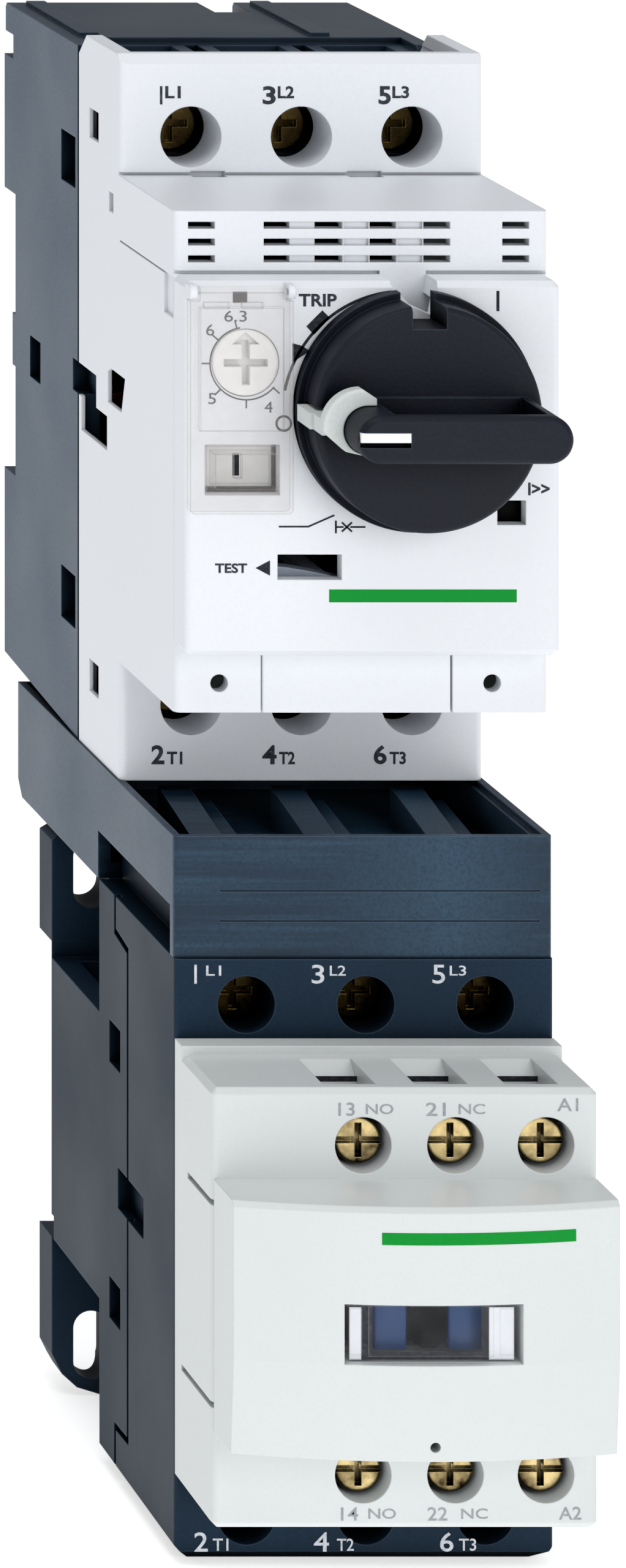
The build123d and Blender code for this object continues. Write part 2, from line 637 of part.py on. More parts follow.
def make_trip_coils():
    """Copper coils of the magnetic release."""
    with BuildPart() as coils:
        for x in poles:
            rod(x, -8.6, 5.5, (12.2, 26.0))
            rod(x, -8.6, 3.5, (12, 27), mode=Mode.SUBTRACT)
            for out in (14, 16, 18, 20, 22, 24):
                with BuildSketch(front_plane(out)) as groove:
                    with Locations((x, -8.6)):
                        Circle(6.0)
                        Circle(5.2, mode=Mode.SUBTRACT)
                extrude(groove.sketch, amount=0.4, mode=Mode.SUBTRACT)
    coils.part.label = "breaker_trip_coils"
    export_step(coils.part, "parts/breaker_trip_coils.step")


def make_coil_tubes():
    """Plastic tubes inside the coils, in which the plungers slide."""
    with BuildPart() as tubes:
        for x in poles:
            rod(x, -8.6, 3.4, (8.0, 27.0))
            rod(x, -8.6, 2.65, (12.0, 28.0), mode=Mode.SUBTRACT)
    tubes.part.label = "breaker_coil_tubes"
    export_step(tubes.part, "parts/breaker_coil_tubes.step")


def make_plungers():
    """Steel plungers of the magnetic release, each with a pin that strikes the trip bar."""
    with BuildPart() as plungers:
        for x in poles:
            rod(x, -8.6, 2.6, (14.0, 25.0))
            rod(x, -8.6, 1.0, (25.0, 38.2))
    plungers.part.label = "breaker_trip_plungers"
    export_step(plungers.part, "parts/breaker_trip_plungers.step")


def make_bimetals():
    """Bimetal strips of the thermal release, with their feet and the load contact strips."""
    with BuildPart() as strips:
        for x in poles:
            block((x - 2.6, x + 2.6), (10.0, 35.0), (-21.5, -20.5))
            block((x - 3.0, x + 3.0), (8.6, 10.0), (-29.0, -19.5))
            block((x - 3.0, x + 3.0), (8.6, 33.2), (-29.0, -27.7))
            block((x - 3.0, x + 3.0), (31.9, 33.2), (-39.0, -27.7))
    strips.part.label = "bimetal_strips"
    export_step(strips.part, "parts/bimetal_strips.step")


def make_heaters():
    """Heater windings round the bimetals."""
    with BuildPart() as heaters:
        for x in poles:
            for turn in range(6):
                out = 12.5 + 2.4 * turn
                block((x - 4.2, x + 4.2), (out, out + 1.4), (-23.2, -18.8))
                block((x - 3.2, x + 3.2), (out - 1, out + 2), (-22.2, -19.8), mode=Mode.SUBTRACT)
            block((x + 3.4, x + 4.2), (12.5, 25.9), (-21.6, -20.4))
    heaters.part.label = "heater_windings"
    export_step(heaters.part, "parts/heater_windings.step")


def make_trip_bar():
    """Trip bar across the poles: it turns when a plunger or a bimetal pushes one of its arms."""
    with BuildPart() as bar:
        rod_across(43.0, -14.0, 1.8, (-19.6, 19.6))
        for x in poles:
            polygon_side([(38.4, -6.8), (39.8, -6.8), (44.2, -13.6), (42.0, -14.6)], (x - 1.6, x + 1.6))
        polygon_side([(43, -15.2), (43, -12.8), (50.8, -11.2), (50.8, -12.4)], (-7.0, -4.2))
    bar.part.label = "trip_bar"
    export_step(bar.part, "parts/trip_bar.step")


def make_mechanism_frame():
    """Steel frame of the switching mechanism, with bearings for the shaft and the trip bar."""
    with BuildPart() as frame:
        block((-4.0, 18.0), (66.0, 67.4), (-2.0, 18.0))
        block((-4.0, 18.0), (54.0, 55.4), (-2.0, 18.0))
        block((-4.0, -2.6), (54.0, 67.4), (-2.0, 18.0))
        block((16.6, 18.0), (54.0, 67.4), (-2.0, 18.0))
        rod(knob_x, knob_z, 3.7, (50, 70), mode=Mode.SUBTRACT)
        for x in (-3.3, 17.3):
            rod_across(60.0, 14.0, 1.2, (x - 1, x + 1), mode=Mode.SUBTRACT)
    frame.part.label = "mechanism_frame"
    export_step(frame.part, "parts/mechanism_frame.step")


def make_mechanism_spring():
    """Helical spring that snaps the mechanism over, held on a pin in the frame."""
    with BuildPart() as coil:
        spring(12.4, 13.4, 2.6, 0.35, (55.6, 65.8), 6)
    coil.part.label = "mechanism_spring"
    export_step(coil.part, "parts/mechanism_spring.step")


def make_clip_spring():
    """Spring that holds the breaker's rail clip up."""
    with BuildPart() as coil:
        spring_up(0, 3.85, 0.9, 0.2, (-31.1, -19.7), 8)
    coil.part.label = "breaker_clip_spring"
    export_step(coil.part, "parts/breaker_clip_spring.step")


# ---------------------------------------------------------------- link block

def make_link_housing():
    """Dark link block under the breaker: a tray with an open top, ribs and a stepped underside."""
    with BuildPart() as block_body:
        profile = [
            (block_back, block_top), (block_front, block_top), (block_front, block_low),
            (block_back + 2, block_low), (block_back, block_low + 2),
        ]
        polygon_side(profile, (-block_half, block_half))
        corner = block_body.edges().filter_by(Axis.Z).group_by(Axis.Y)[0]
        fillet(corner, 0.5)
        # Hollow above and below a middle plate
        block((-20.9, 20.9), (block_back + 1.6, block_front - 1.6), (-50.2, -44), mode=Mode.SUBTRACT)
        block((-20.9, 20.9), (block_back + 1.6, block_front - 1.6), (-57.2, -51.2), mode=Mode.SUBTRACT)
        block((-20.9, 20.9), (block_step, block_front - 1.6), (-60, -56), mode=Mode.SUBTRACT)
        # Side openings towards the contactor
        block((-24, 24), (block_step, block_front - 1.6), (-60, block_side_low), mode=Mode.SUBTRACT)
        # Ribs along the tray, higher at the back
        for x in (-15.2, -1.4, 13.3):
            polygon_side([(54, -51), (54, -45.6), (block_front - 1.6, -49.4), (block_front - 1.6, -51)],
                         (x - 1.9, x + 1.9))
            polygon_side([(54, -51), (54, -47.4), (block_front - 1.6, -49.9), (block_front - 1.6, -51)],
                         (x + 1.9, x + 4.6))
        # Cross wall in front of the copper bars, and a stepped rim round the tray
        block((-20.9, 20.9), (37.4, 38.6), (-51, -45.2))
        block((-21.6, 21.6), (block_back + 0.8, block_front - 0.8), (-45.2, -44), mode=Mode.SUBTRACT)
        # Ways for the copper bars: up into the breaker and down into the contactor
        for x in poles:
            block((x - 3.1, x + 3.1), (33.4, 36.8), (-52, -44), mode=Mode.SUBTRACT)
        # Fine tooling lines across the front
        for z in (-51.0, -54.6):
            block((-17, 21.0), (block_front - 0.12, block_front + 1), (z - 0.1, z + 0.1), mode=Mode.SUBTRACT)
    block_body.part.label = "link_housing"
    export_step(block_body.part, "parts/link_housing.step")


def make_link_bars():
    """Three copper bars from the breaker's load clamps to the contactor's line clamps."""
    with BuildPart() as bars:
        for x in poles:
            path = [
                (34.2, -33.0), (35.4, -33.0), (35.4, -52.4), (66.2, -52.4), (66.2, -69.0),
                (65.0, -69.0), (65.0, -53.6), (34.2, -53.6),
            ]
            polygon_side(path, (x - 2.2, x + 2.2))
    bars.part.label = "link_bars"
    export_step(bars.part, "parts/link_bars.step")


# ---------------------------------------------------------------- contactor casing

def make_contactor_base():
    """Dark rear body: rail recess, four slotted ears, side notches and the magnet's cavity."""
    with BuildPart() as base:
        profile = [
            (back, top - 1.6), (back, -73.3), (24.6, -73.3), (24.6, -108.7), (back, -108.7),
            (back, -127.6), (ear_front, bottom), (54.2, bottom), (54.2, -123.7), (59.9, -123.5),
            (59.9, -64.5), (54.2, -63.7), (54.2, top), (back + 1.6, top),
        ]
        polygon_side(profile, (-half, half))
        block((-19.6, 19.6), (block_step + 0.2, 54.2), (top - 0.5, collar_top))
        # The hooked upper lip of the recess, behind the rail's top edge
        block((-14, 14), (back + 1.4, 22.6), (-75.0, -73.3))
        for side in (-1, 1):
            x_in, x_out = side * notch_in, side * (half + 1)
            across = (min(x_in, x_out), max(x_in, x_out))
            # Corner notches in front of the ears
            block(across, (ear_front, notch_front), (notch_top, top + 1), mode=Mode.SUBTRACT)
            block(across, (ear_front, notch_front), (bottom - 1, notch_bottom), mode=Mode.SUBTRACT)
            # Above and below the ears the corner is cut back
            block(across, (back - 1, ear_front + 1), (notch_bottom, -108.0), mode=Mode.SUBTRACT)
            # Side windows over the catches
            edge_in, edge_out = side * (half - 1.8), side * (half + 1)
            edge = (min(edge_in, edge_out), max(edge_in, edge_out))
            block(edge, (52.0, 57.0), (-80.1, -74.9), mode=Mode.SUBTRACT)
            block(edge, (55.9, 60.5), (-96.9, -91.9), mode=Mode.SUBTRACT)
            block(edge, (52.0, 57.0), (-111.6, -106.5), mode=Mode.SUBTRACT)
            # Ear slots
            for z in ear_slot_z:
                with BuildSketch(front_plane(back - 1)) as slot:
                    with Locations((side * ear_slot_x, z)):
                        SlotOverall(ear_slot_height, ear_slot_width, rotation=90)
                extrude(slot.sketch, amount=8, mode=Mode.SUBTRACT)
            # Rounded outer corners of the ears, and the body's slanted lower edge
            corner = [(side * (half + 0.1), bottom + 5.4), (side * (half - 1.3), bottom + 2.6),
                      (side * (half - 3.2), bottom + 0.9), (side * (half - 6.5), bottom - 0.1),
                      (side * (half + 0.1), bottom - 0.1)]
            polygon_front(corner, (back - 1, ear_front), mode=Mode.SUBTRACT)
            corner = [(side * (half + 0.1), top - 1.6), (side * (half - 1.5), top + 0.1),
                      (side * (half + 0.1), top + 0.1)]
            polygon_front(corner, (back - 1, ear_front), mode=Mode.SUBTRACT)
            slant = [(side * (half + 0.1), bottom + 2.3), (side * (half - 2.2), bottom - 0.1),
                     (side * (half + 0.1), bottom - 0.1)]
            polygon_front(slant, (notch_front - 1, 55), mode=Mode.SUBTRACT)
        # Cavity of the magnet and the coil
        block((-19.4, 19.4), (26.2, 61), (-107.6, -74.4), mode=Mode.SUBTRACT)
        # Guide of the rail clip
        block((-7.2, 7.2), (19.6, 21.7), (bottom - 1, -108.0), mode=Mode.SUBTRACT)
        block((-7.2, 7.2), (21.6, 24.2), (-120.0, -108.0), mode=Mode.SUBTRACT)
    base.part.label = "contactor_base"
    export_step(base.part, "parts/contactor_base.step")


def make_pole_housing():
    """Dark front body: three pole chambers, terminal pockets, wire ways and screw wells."""
    with BuildPart() as housing:
        profile = [
            (54.2, top), (54.2, -63.7), (59.9, -64.5), (59.9, -123.5), (54.2, -123.7),
            (54.2, bottom), (78.4, bottom), (housing_front, bottom + 1.6), (housing_front, top),
        ]
        polygon_side(profile, (-half, half))
        fillet(housing.edges().filter_by(Axis.Z).group_by(Axis.Y)[0], 0.6)
        # Raised middle that fills the link block's side openings
        block((-19.6, 19.6), (54.2, 78.4), (top - 0.5, collar_top))
        for x in power_poles:
            block((x - 6.4, x + 6.4), (59, 78.6), (-108.2, -73.8), mode=Mode.SUBTRACT)
            for z, outward in ((power_z[0], 1), (power_z[1], -1)):
                pocket = (z - outward * 7.2, z + outward * 4.2)
                block((x - 5.0, x + 5.0), (59, 76.2), (min(pocket), max(pocket)), mode=Mode.SUBTRACT)
                end = (z + outward * 4, z + outward * 14)
                block((x - 4.4, x + 4.4), (61.6, 71.0), (min(end), max(end)), mode=Mode.SUBTRACT)
                rod(x, z, 3.4, (76, housing_front + 1), mode=Mode.SUBTRACT)
                inner = (z - outward * 7, centre_z + outward * 16)
                block((x - 3.2, x + 3.2), (59, 64.4), (min(inner), max(inner)), mode=Mode.SUBTRACT)
        # Tunnel for the armature and the contact carrier, through to the front
        block((-19.2, 19.2), (59, 78.6), (-99.6, -82.4), mode=Mode.SUBTRACT)
        block((-10.0, 10.0), (77, housing_front + 1), (-94.2, -87.8), mode=Mode.SUBTRACT)
        for side in (-1, 1):
            edge_in, edge_out = side * (half - 1.8), side * (half + 1)
            edge = (min(edge_in, edge_out), max(edge_in, edge_out))
            block(edge, (59, 67.4), (-96.9, -91.9), mode=Mode.SUBTRACT)
            # Shadow gap along the joint with the rear body, and the slanted lower edge
            gap_in = side * (half - 0.8)
            gap = (min(gap_in, edge_out), max(gap_in, edge_out))
            polygon_side([(54.2, top + 1), (54.2, -63.7), (59.9, -64.5), (59.9, -123.5), (54.2, -123.7),
                          (54.2, bottom - 1), (55.0, bottom - 1), (55.0, -124.5), (60.7, -124.3),
                          (60.7, -63.7), (55.0, -62.9), (55.0, top + 1)], gap, mode=Mode.SUBTRACT)
            slant = [(side * (half + 0.1), bottom + 2.3), (side * (half - 2.2), bottom - 0.1),
                     (side * (half + 0.1), bottom - 0.1)]
            polygon_front(slant, (54, housing_front + 1), mode=Mode.SUBTRACT)
    housing.part.label = "pole_housing"
    export_step(housing.part, "parts/pole_housing.step")


def make_terminal_cover():
    """Pale cover over the auxiliary and coil terminals, with three wire pockets at each end."""
    middle = (cover_top + cover_bottom) / 2
    reach = (cover_top - cover_bottom) / 2
    with BuildPart() as cover:
        block((-half, half), (cover_back, cover_front), (cover_bottom, cover_top))
        block((-half, half), (housing_front, 84.0), (cover_bottom, -68.4))
        fillet(cover.edges().filter_by(Axis.Z).group_by(Axis.Y)[0], 0.9)
        chamfer(cover.edges().filter_by(Axis.X).group_by(Axis.Y)[0], 0.7)
        # Hollow from behind
        block((-20.8, 20.8), (housing_front - 1, 94.8), (-109.0, -81.6), mode=Mode.SUBTRACT)
        for x in aux_x:
            for z, outward in ((aux_z[0], 1), (aux_z[1], -1)):
                edge = middle + outward * reach
                # Bay of the clamp, and above it a mouth with a ramp that leads the wire in
                bay = (z - outward * 3.6, edge - outward * 2.9)
                block((x - 3.1, x + 3.1), (84.6, 91.9), (min(bay), max(bay)), mode=Mode.SUBTRACT)
                polygon_side([(85.2, edge + outward * 2), (85.2, edge - outward * 0.1),
                              (87.75, edge - outward * 2.5), (87.75, edge - outward * 3.2),
                              (91.9, edge - outward * 3.2), (91.9, edge - outward * 1.6),
                              (95.0, edge + outward * 0.1), (95.0, edge + outward * 2)],
                             (x - 4.2, x + 2.0), mode=Mode.SUBTRACT)
                rod(x, z, 3.3, (91.5, cover_front + 1), mode=Mode.SUBTRACT)
                inner = (z - outward * 3.4, z - outward * 6.5)
                block((x - 2.6, x + 2.6), (84.6, 87.6), (min(inner), max(inner)), mode=Mode.SUBTRACT)
        # Slits in both sides beside the raised cover's ends
        for x0, x1 in ((-24, -21.6), (21.6, 24)):
            block((x0, x1), (86.4, cover_front + 1), (-83.2, -82.5), mode=Mode.SUBTRACT)
            block((x0, x1), (83.8, cover_front + 1), (-106.8, -106.1), mode=Mode.SUBTRACT)
        # Opening towards the window
        block((-9.0, 9.0), (94, cover_front + 1), (-99.4, -89.4), mode=Mode.SUBTRACT)
    cover.part.label = "terminal_cover"
    export_step(cover.part, "parts/terminal_cover.step")


def bulged_outline(z, edge, middle, half_width):
    """Plan outline of the raised cover at one height: straight sides and a bowed front."""
    with BuildSketch(top_plane(z)) as outline:
        with BuildLine():
            Polyline((-half_width, edge), (-half_width, cover_front), (half_width, cover_front),
                     (half_width, edge))
            ThreePointArc((-half_width, edge), (0, middle), (half_width, edge))
        make_face()
    return outline.sketch


def make_front_cover():
    """Raised front cover: a bowed face that falls back below a crease, with the window."""
    lean = 1.1
    with BuildPart() as cover:
        upper = bulged_outline(raised_top, cover_edge, cover_bulge, half - 0.2)
        extrude(upper, amount=raised_top - raised_crease)
        crease = bulged_outline(raised_crease, cover_edge, cover_bulge, half - 0.2)
        low = bulged_outline(raised_bottom, cover_edge - lean, cover_bulge - lean, half - 0.2)
        loft([crease, low])
        top_front = cover.edges().group_by(Axis.Z)[-1].group_by(Axis.Y)[0]
        chamfer(top_front, 0.6)
        # Hollow behind, leaving a shell
        block((-20.6, 20.6), (cover_front - 1, 102.4), (raised_bottom + 1.8, raised_top - 1.8),
              mode=Mode.SUBTRACT)
        left, right, low_z, high_z = window
        block((left, right), (101, 109), (low_z, high_z), mode=Mode.SUBTRACT)
        rod(0.5, -107.8, 0.6, (101, 109), mode=Mode.SUBTRACT)
    cover.part.label = "front_cover"
    export_step(cover.part, "parts/front_cover.step")


def make_window_lens():
    """Clear window insert: a thin pane and a frame that closes round the moving indicator."""
    left, right, low_z, high_z = window
    with BuildPart() as lens:
        block((left + 0.1, right - 0.1), (102.6, 106.6), (low_z + 0.1, high_z - 0.1))
        fillet(lens.edges().filter_by(Axis.Z).group_by(Axis.Y)[0], 0.3)
        block((-7.1, 7.35), (101, 105.7), (low_z + 0.6, high_z - 0.5), mode=Mode.SUBTRACT)
        for x0, x1 in ((left + 0.8, -7.8), (8.05, right - 0.8)):
            block((x0, x1), (101, 105.7), (low_z + 0.8, high_z - 0.8), mode=Mode.SUBTRACT)
    lens.part.label = "window_lens"
    export_step(lens.part, "parts/window_lens.step")


# ---------------------------------------------------------------- contactor inner pieces

def make_magnet_core():
    """Fixed laminated E core, with a groove for the shading ring in each outer face."""
    with BuildPart() as core:
        up = (centre_z - stack_half, centre_z + stack_half)
        block((-magnet_half, magnet_half), (core_back, 32.0), up)
        for x0, x1 in ((-magnet_half, -12.5), (-4.5, 4.5), (12.5, magnet_half)):
            block((x0, x1), (31.5, core_face), up)
        for x in (-15.0, 15.0):
            groove = (centre_z - 5.4, centre_z + 5.4)
            block((x - 1.9, x + 1.9), (core_face - 1.1, core_face + 1), groove, mode=Mode.SUBTRACT)
            inner = (centre_z - 4.4, centre_z + 4.4)
            block((x - 0.9, x + 0.9), (core_face - 1.2, core_face), inner)
    core.part.label = "magnet_core"
    export_step(core.part, "parts/magnet_core.step")


def make_shading_rings():
    """Two copper rings let into the outer faces of the fixed core."""
    with BuildPart() as rings:
        for x in (-15.0, 15.0):
            block((x - 1.85, x + 1.85), (core_face - 1.1, core_face - 0.1),
                  (centre_z - 5.35, centre_z + 5.35))
            block((x - 0.95, x + 0.95), (core_face - 2, core_face + 1),
                  (centre_z - 4.45, centre_z + 4.45), mode=Mode.SUBTRACT)
    rings.part.label = "shading_rings"
    export_step(rings.part, "parts/shading_rings.step")


def make_core_cushion():
    """Rubber pad behind the fixed core."""
    with BuildPart() as pad:
        block((-magnet_half, magnet_half), (26.2, core_back), (centre_z - stack_half, centre_z + stack_half))
        for x in (-10, 10):
            rod(x, centre_z, 1.5, (26, 28), mode=Mode.SUBTRACT)
    pad.part.label = "core_cushion"
    export_step(pad.part, "parts/core_cushion.step")


def make_coil_bobbin():
    """Plastic bobbin round the centre leg: a tube with two flanges."""
    with BuildPart() as bobbin:
        block((-6.3, 6.3), (32.4, 46.2), (centre_z - 8.6, centre_z + 8.6))
        for out in ((32.4, 33.5), (45.1, 46.2)):
            block((-12.2, 12.2), out, (centre_z - 15.4, centre_z + 15.4))
        block((-5.2, 5.2), (31, 47), (centre_z - 7.5, centre_z + 7.5), mode=Mode.SUBTRACT)
    bobbin.part.label = "coil_bobbin"
    export_step(bobbin.part, "parts/coil_bobbin.step")


def make_coil_winding():
    """Copper winding between the bobbin's flanges."""
    with BuildPart() as winding:
        block((-11.8, 11.8), (33.6, 45.0), (centre_z - 14.8, centre_z + 14.8))
        fillet(winding.edges().filter_by(Axis.Y), 2.5)
        block((-6.35, 6.35), (33, 46), (centre_z - 8.65, centre_z + 8.65), mode=Mode.SUBTRACT)
    winding.part.label = "coil_winding"
    export_step(winding.part, "parts/coil_winding.step")


def make_armature():
    """Moving laminated E core, carried by the contact carrier."""
    with BuildPart() as armature:
        up = (centre_z - stack_half, centre_z + stack_half)
        block((-magnet_half, magnet_half), (57.8, armature_front), up)
        for x0, x1 in ((-magnet_half, -12.7), (-4.5, 4.5), (12.7, magnet_half)):
            block((x0, x1), (armature_face, 58.0), up)
    armature.part.label = "armature"
    export_step(armature.part, "parts/armature.step")


def make_contact_carrier():
    """Moulded carrier: a yoke on the armature, three posts with windows, and the front stem."""
    with BuildPart() as carrier:
        block((-18.4, 18.4), (armature_front, 66.6), (centre_z - 4.6, centre_z + 4.6))
        for x in power_poles:
            block((x - 3.3, x + 3.3), (66.0, 78.0), (centre_z - 2.6, centre_z + 2.6))
            block((x - 1.85, x + 1.85), (68.9, 76.0), (centre_z - 4, centre_z + 4), mode=Mode.SUBTRACT)
        block((-17.4, 17.6), (76.0, 78.0), (centre_z - 2.6, centre_z + 2.6))
        block((-8.6, 8.6), (77.5, 97.6), (centre_z - 2.6, centre_z - 0.4))
        block((-6.4, 6.4), (77.5, 83.0), (centre_z - 2.6, centre_z + 2.6))
        # Windows for the auxiliary bridges
        for x in aux_x[:2]:
            block((x - 1.7, x + 1.7), (86.6, 93.6), (centre_z - 6, centre_z + 6), mode=Mode.SUBTRACT)
    carrier.part.label = "contact_carrier"
    export_step(carrier.part, "parts/contact_carrier.step")


def make_indicator_head():
    """Two blue blocks on the end of the carrier, seen through the window."""
    with BuildPart() as head:
        for x0, x1 in ((-6.0, -2.1), (2.7, 6.8)):
            block((x0, x1), (97.6, 104.0), (-97.3, -91.9))
        fillet(head.edges().filter_by(Axis.Z).group_by(Axis.Y)[0], 0.4)
        block((-6.0, 6.8), (97.6, 99.0), (-97.3, -91.7))
    head.part.label = "indicator_head"
    export_step(head.part, "parts/indicator_head.step")


def make_indicator_stem():
    """Dark middle of the indicator, with a narrow foot."""
    with BuildPart() as stem:
        block((-2.0, 2.6), (99.0, 103.7), (-95.9, -91.9))
        polygon_front([(-2.0, -95.9), (2.6, -95.9), (1.3, -97.2), (-0.3, -97.2)], (99.0, 103.7))
        block((-1.3, -0.2), (102.8, 104), (-95.7, -92.9), mode=Mode.SUBTRACT)
    stem.part.label = "indicator_stem"
    export_step(stem.part, "parts/indicator_stem.step")


def make_power_bridges():
    """Three bridging contacts of the contactor, with silver tips behind."""
    with BuildPart() as bridges:
        for x in power_poles:
            block((x - 1.75, x + 1.75), (69.0, 70.3), (centre_z - 12.4, centre_z + 12.4))
            for side in (-1, 1):
                rod(x, centre_z + side * 10.8, 1.7, (68.2, 69.0))
    bridges.part.label = "power_bridges"
    export_step(bridges.part, "parts/power_bridges.step")


def make_contact_springs():
    """Pressure springs in the carrier's windows."""
    with BuildPart() as springs:
        for x in power_poles:
            spring(x, centre_z, 1.6, 0.25, (70.35, 75.95), 4)
    springs.part.label = "contact_springs"
    export_step(springs.part, "parts/contact_springs.step")


def make_return_springs():
    """Two springs between the bobbin and the armature that open the contactor."""
    with BuildPart() as springs:
        for x in (-8.6, 8.6):
            spring(x, centre_z, 2.9, 0.4, (46.3, 57.7), 6)
    springs.part.label = "return_springs"
    export_step(springs.part, "parts/return_springs.step")


def make_power_contacts(name, end):
    """Fixed copper strips with tips at one end of the power poles."""
    outward = 1 if end == 0 else -1
    z = power_z[end]
    tip_z = centre_z + outward * 10.8
    span = (z + outward * 3.4, tip_z - outward * 1.8)
    with BuildPart() as strips:
        for x in power_poles:
            block((x - 3.0, x + 3.0), (61.7, 63.0), (min(span), max(span)))
            rod(x, tip_z, 1.7, (63.0, 63.7))
    strips.part.label = f"power_{name}_contacts"
    export_step(strips.part, f"parts/power_{name}_contacts.step")


def make_power_screws():
    """Six power terminal screws of the contactor."""
    with BuildPart() as screws:
        for x in power_poles:
            for z in power_z:
                screw(x, z, 3.1, 1.95, 67.6, 73.0, 75.2)
    screws.part.label = "power_terminal_screws"
    export_step(screws.part, "parts/power_terminal_screws.step")


def make_power_clamps():
    """Six brass terminal cages of the contactor's poles."""
    with BuildPart() as cages:
        for x in power_poles:
            for z, outward in ((power_z[0], 1), (power_z[1], -1)):
                span = (z - outward * 4.4, z + outward * 3.6)
                cage(x, 8.8, (60.3, 72.8), (min(span), max(span)), 6.4, 2.8)
                rod(x, z, 2.0, (69, 74), mode=Mode.SUBTRACT)
    cages.part.label = "power_terminal_clamps"
    export_step(cages.part, "parts/power_terminal_clamps.step")


def make_arc_shields():
    """Steel shields at both ends of each contactor pole."""
    with BuildPart() as shields:
        for x in power_poles:
            for z in (centre_z + 15.6, centre_z - 15.6):
                block((x - 5.9, x + 5.9), (66.0, 78.0), (z - 0.4, z + 0.4))
                block((x - 2.0, x + 2.0), (66.0, 71.0), (z - 1, z + 1), mode=Mode.SUBTRACT)
    shields.part.label = "arc_shields"
    export_step(shields.part, "parts/arc_shields.step")


def make_aux_screws():
    """Six screws of the auxiliary and coil terminals, with a cross and a slot in each head."""
    with BuildPart() as screws:
        for x in aux_x:
            for z in aux_z:
                rod(x, z, 1.7, (88.4, 92.2))
                rod(x, z, 2.85, (92.2, 94.6))
        rims = screws.edges().filter_by(GeomType.CIRCLE).group_by(Axis.Y)[0]
        fillet(rims, 0.5)
        for x in aux_x:
            for z in aux_z:
                block((x - 3, x + 3), (93.6, 96), (z - 0.4, z + 0.4), mode=Mode.SUBTRACT)
                block((x - 0.4, x + 0.4), (93.4, 96), (z - 2.0, z + 2.0), mode=Mode.SUBTRACT)
    screws.part.label = "aux_terminal_screws"
    export_step(screws.part, "parts/aux_terminal_screws.step")


def make_aux_clamps():
    """Six small brass cages behind the auxiliary and coil screws."""
    with BuildPart() as cages:
        for x in aux_x:
            for z in aux_z:
                cage(x, 6.0, (84.7, 91.8), (z - 3.3, z + 3.3), 4.4, 1.9)
                rod(x, z, 1.75, (89, 93), mode=Mode.SUBTRACT)
    cages.part.label = "aux_terminal_clamps"
    export_step(cages.part, "parts/aux_terminal_clamps.step")


def make_aux_contacts():
    """Fixed strips of the two auxiliary contacts, at both ends."""
    with BuildPart() as strips:
        for x in aux_x[:2]:
            for z, outward in ((aux_z[0], 1), (aux_z[1], -1)):
                span = (z - outward * 2.6, centre_z + outward * 6.4)
                block((x - 2.0, x + 2.0), (86.1, 87.0), (min(span), max(span)))
    strips.part.label = "aux_contacts"
    export_step(strips.part, "parts/aux_contacts.step")


def make_aux_bridges():
    """Bridging bars of the auxiliary contacts, in the carrier's windows."""
    with BuildPart() as bridges:
        for x in aux_x[:2]:
            block((x - 1.6, x + 1.6), (91.5, 92.3), (centre_z - 8.2, centre_z + 8.2))
    bridges.part.label = "aux_bridges"
    export_step(bridges.part, "parts/aux_bridges.step")


def make_contactor_clip():
    """Sprung slide under the contactor's rail recess."""
    with BuildPart() as clip:
        block((-7.0, 7.0), (19.9, 21.5), (-129.0, -108.4))
        block((-7.0, 7.0), (20.9, 22.9), (-108.8, -107.0))
        block((-7.0, 7.0), (19.9, 22.9), (-110.0, -108.4))
        fillet(clip.edges().filter_by(Axis.Y).group_by(Axis.Z)[0], 1.5)
    clip.part.label = "contactor_rail_clip"
    export_step(clip.part, "parts/contactor_rail_clip.step")


def make_contactor_clip_spring():
    """Spring that holds the contactor's rail clip up."""
    with BuildPart() as coil:
        spring_up(0, 22.9, 1.1, 0.22, (-119.9, -110.1), 7)
    coil.part.label = "contactor_clip_spring"
    export_step(coil.part, "parts/contactor_clip_spring.step")


make_breaker_base()
make_breaker_cover()
make_front_panel()
make_aux_flap()
make_rail_clip()
make_knob()
make_knob_pointer()
make_knob_shaft()
make_drive_cam()
make_lock_tab()
make_setting_dial()
make_sealing_cover()
make_test_slider()
make_trip_flag()
make_breaker_screws()
make_breaker_clamps()
make_line_contacts()
make_coil_contacts()
make_bridges()
make_contact_bar()
make_arc_chutes()
make_trip_coils()
make_coil_tubes()
make_plungers()
make_bimetals()
make_heaters()
make_trip_bar()
make_mechanism_frame()
make_mechanism_spring()
make_clip_spring()
make_link_housing()
make_link_bars()
make_contactor_base()
make_pole_housing()
make_terminal_cover()
make_front_cover()
make_window_lens()
make_magnet_core()
make_shading_rings()
make_core_cushion()
make_coil_bobbin()
make_coil_winding()
make_armature()
make_contact_carrier()
make_indicator_head()
make_indicator_stem()
make_power_bridges()
make_contact_springs()
make_return_springs()
make_power_contacts("line", 0)
make_power_contacts("load", 1)
make_power_screws()
make_power_clamps()
make_arc_shields()
make_aux_screws()
make_aux_clamps()
make_aux_contacts()
make_aux_bridges()
make_contactor_clip()
make_contactor_clip_spring()
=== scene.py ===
import math
import bmesh
import bpy
from mathutils import Matrix, Vector


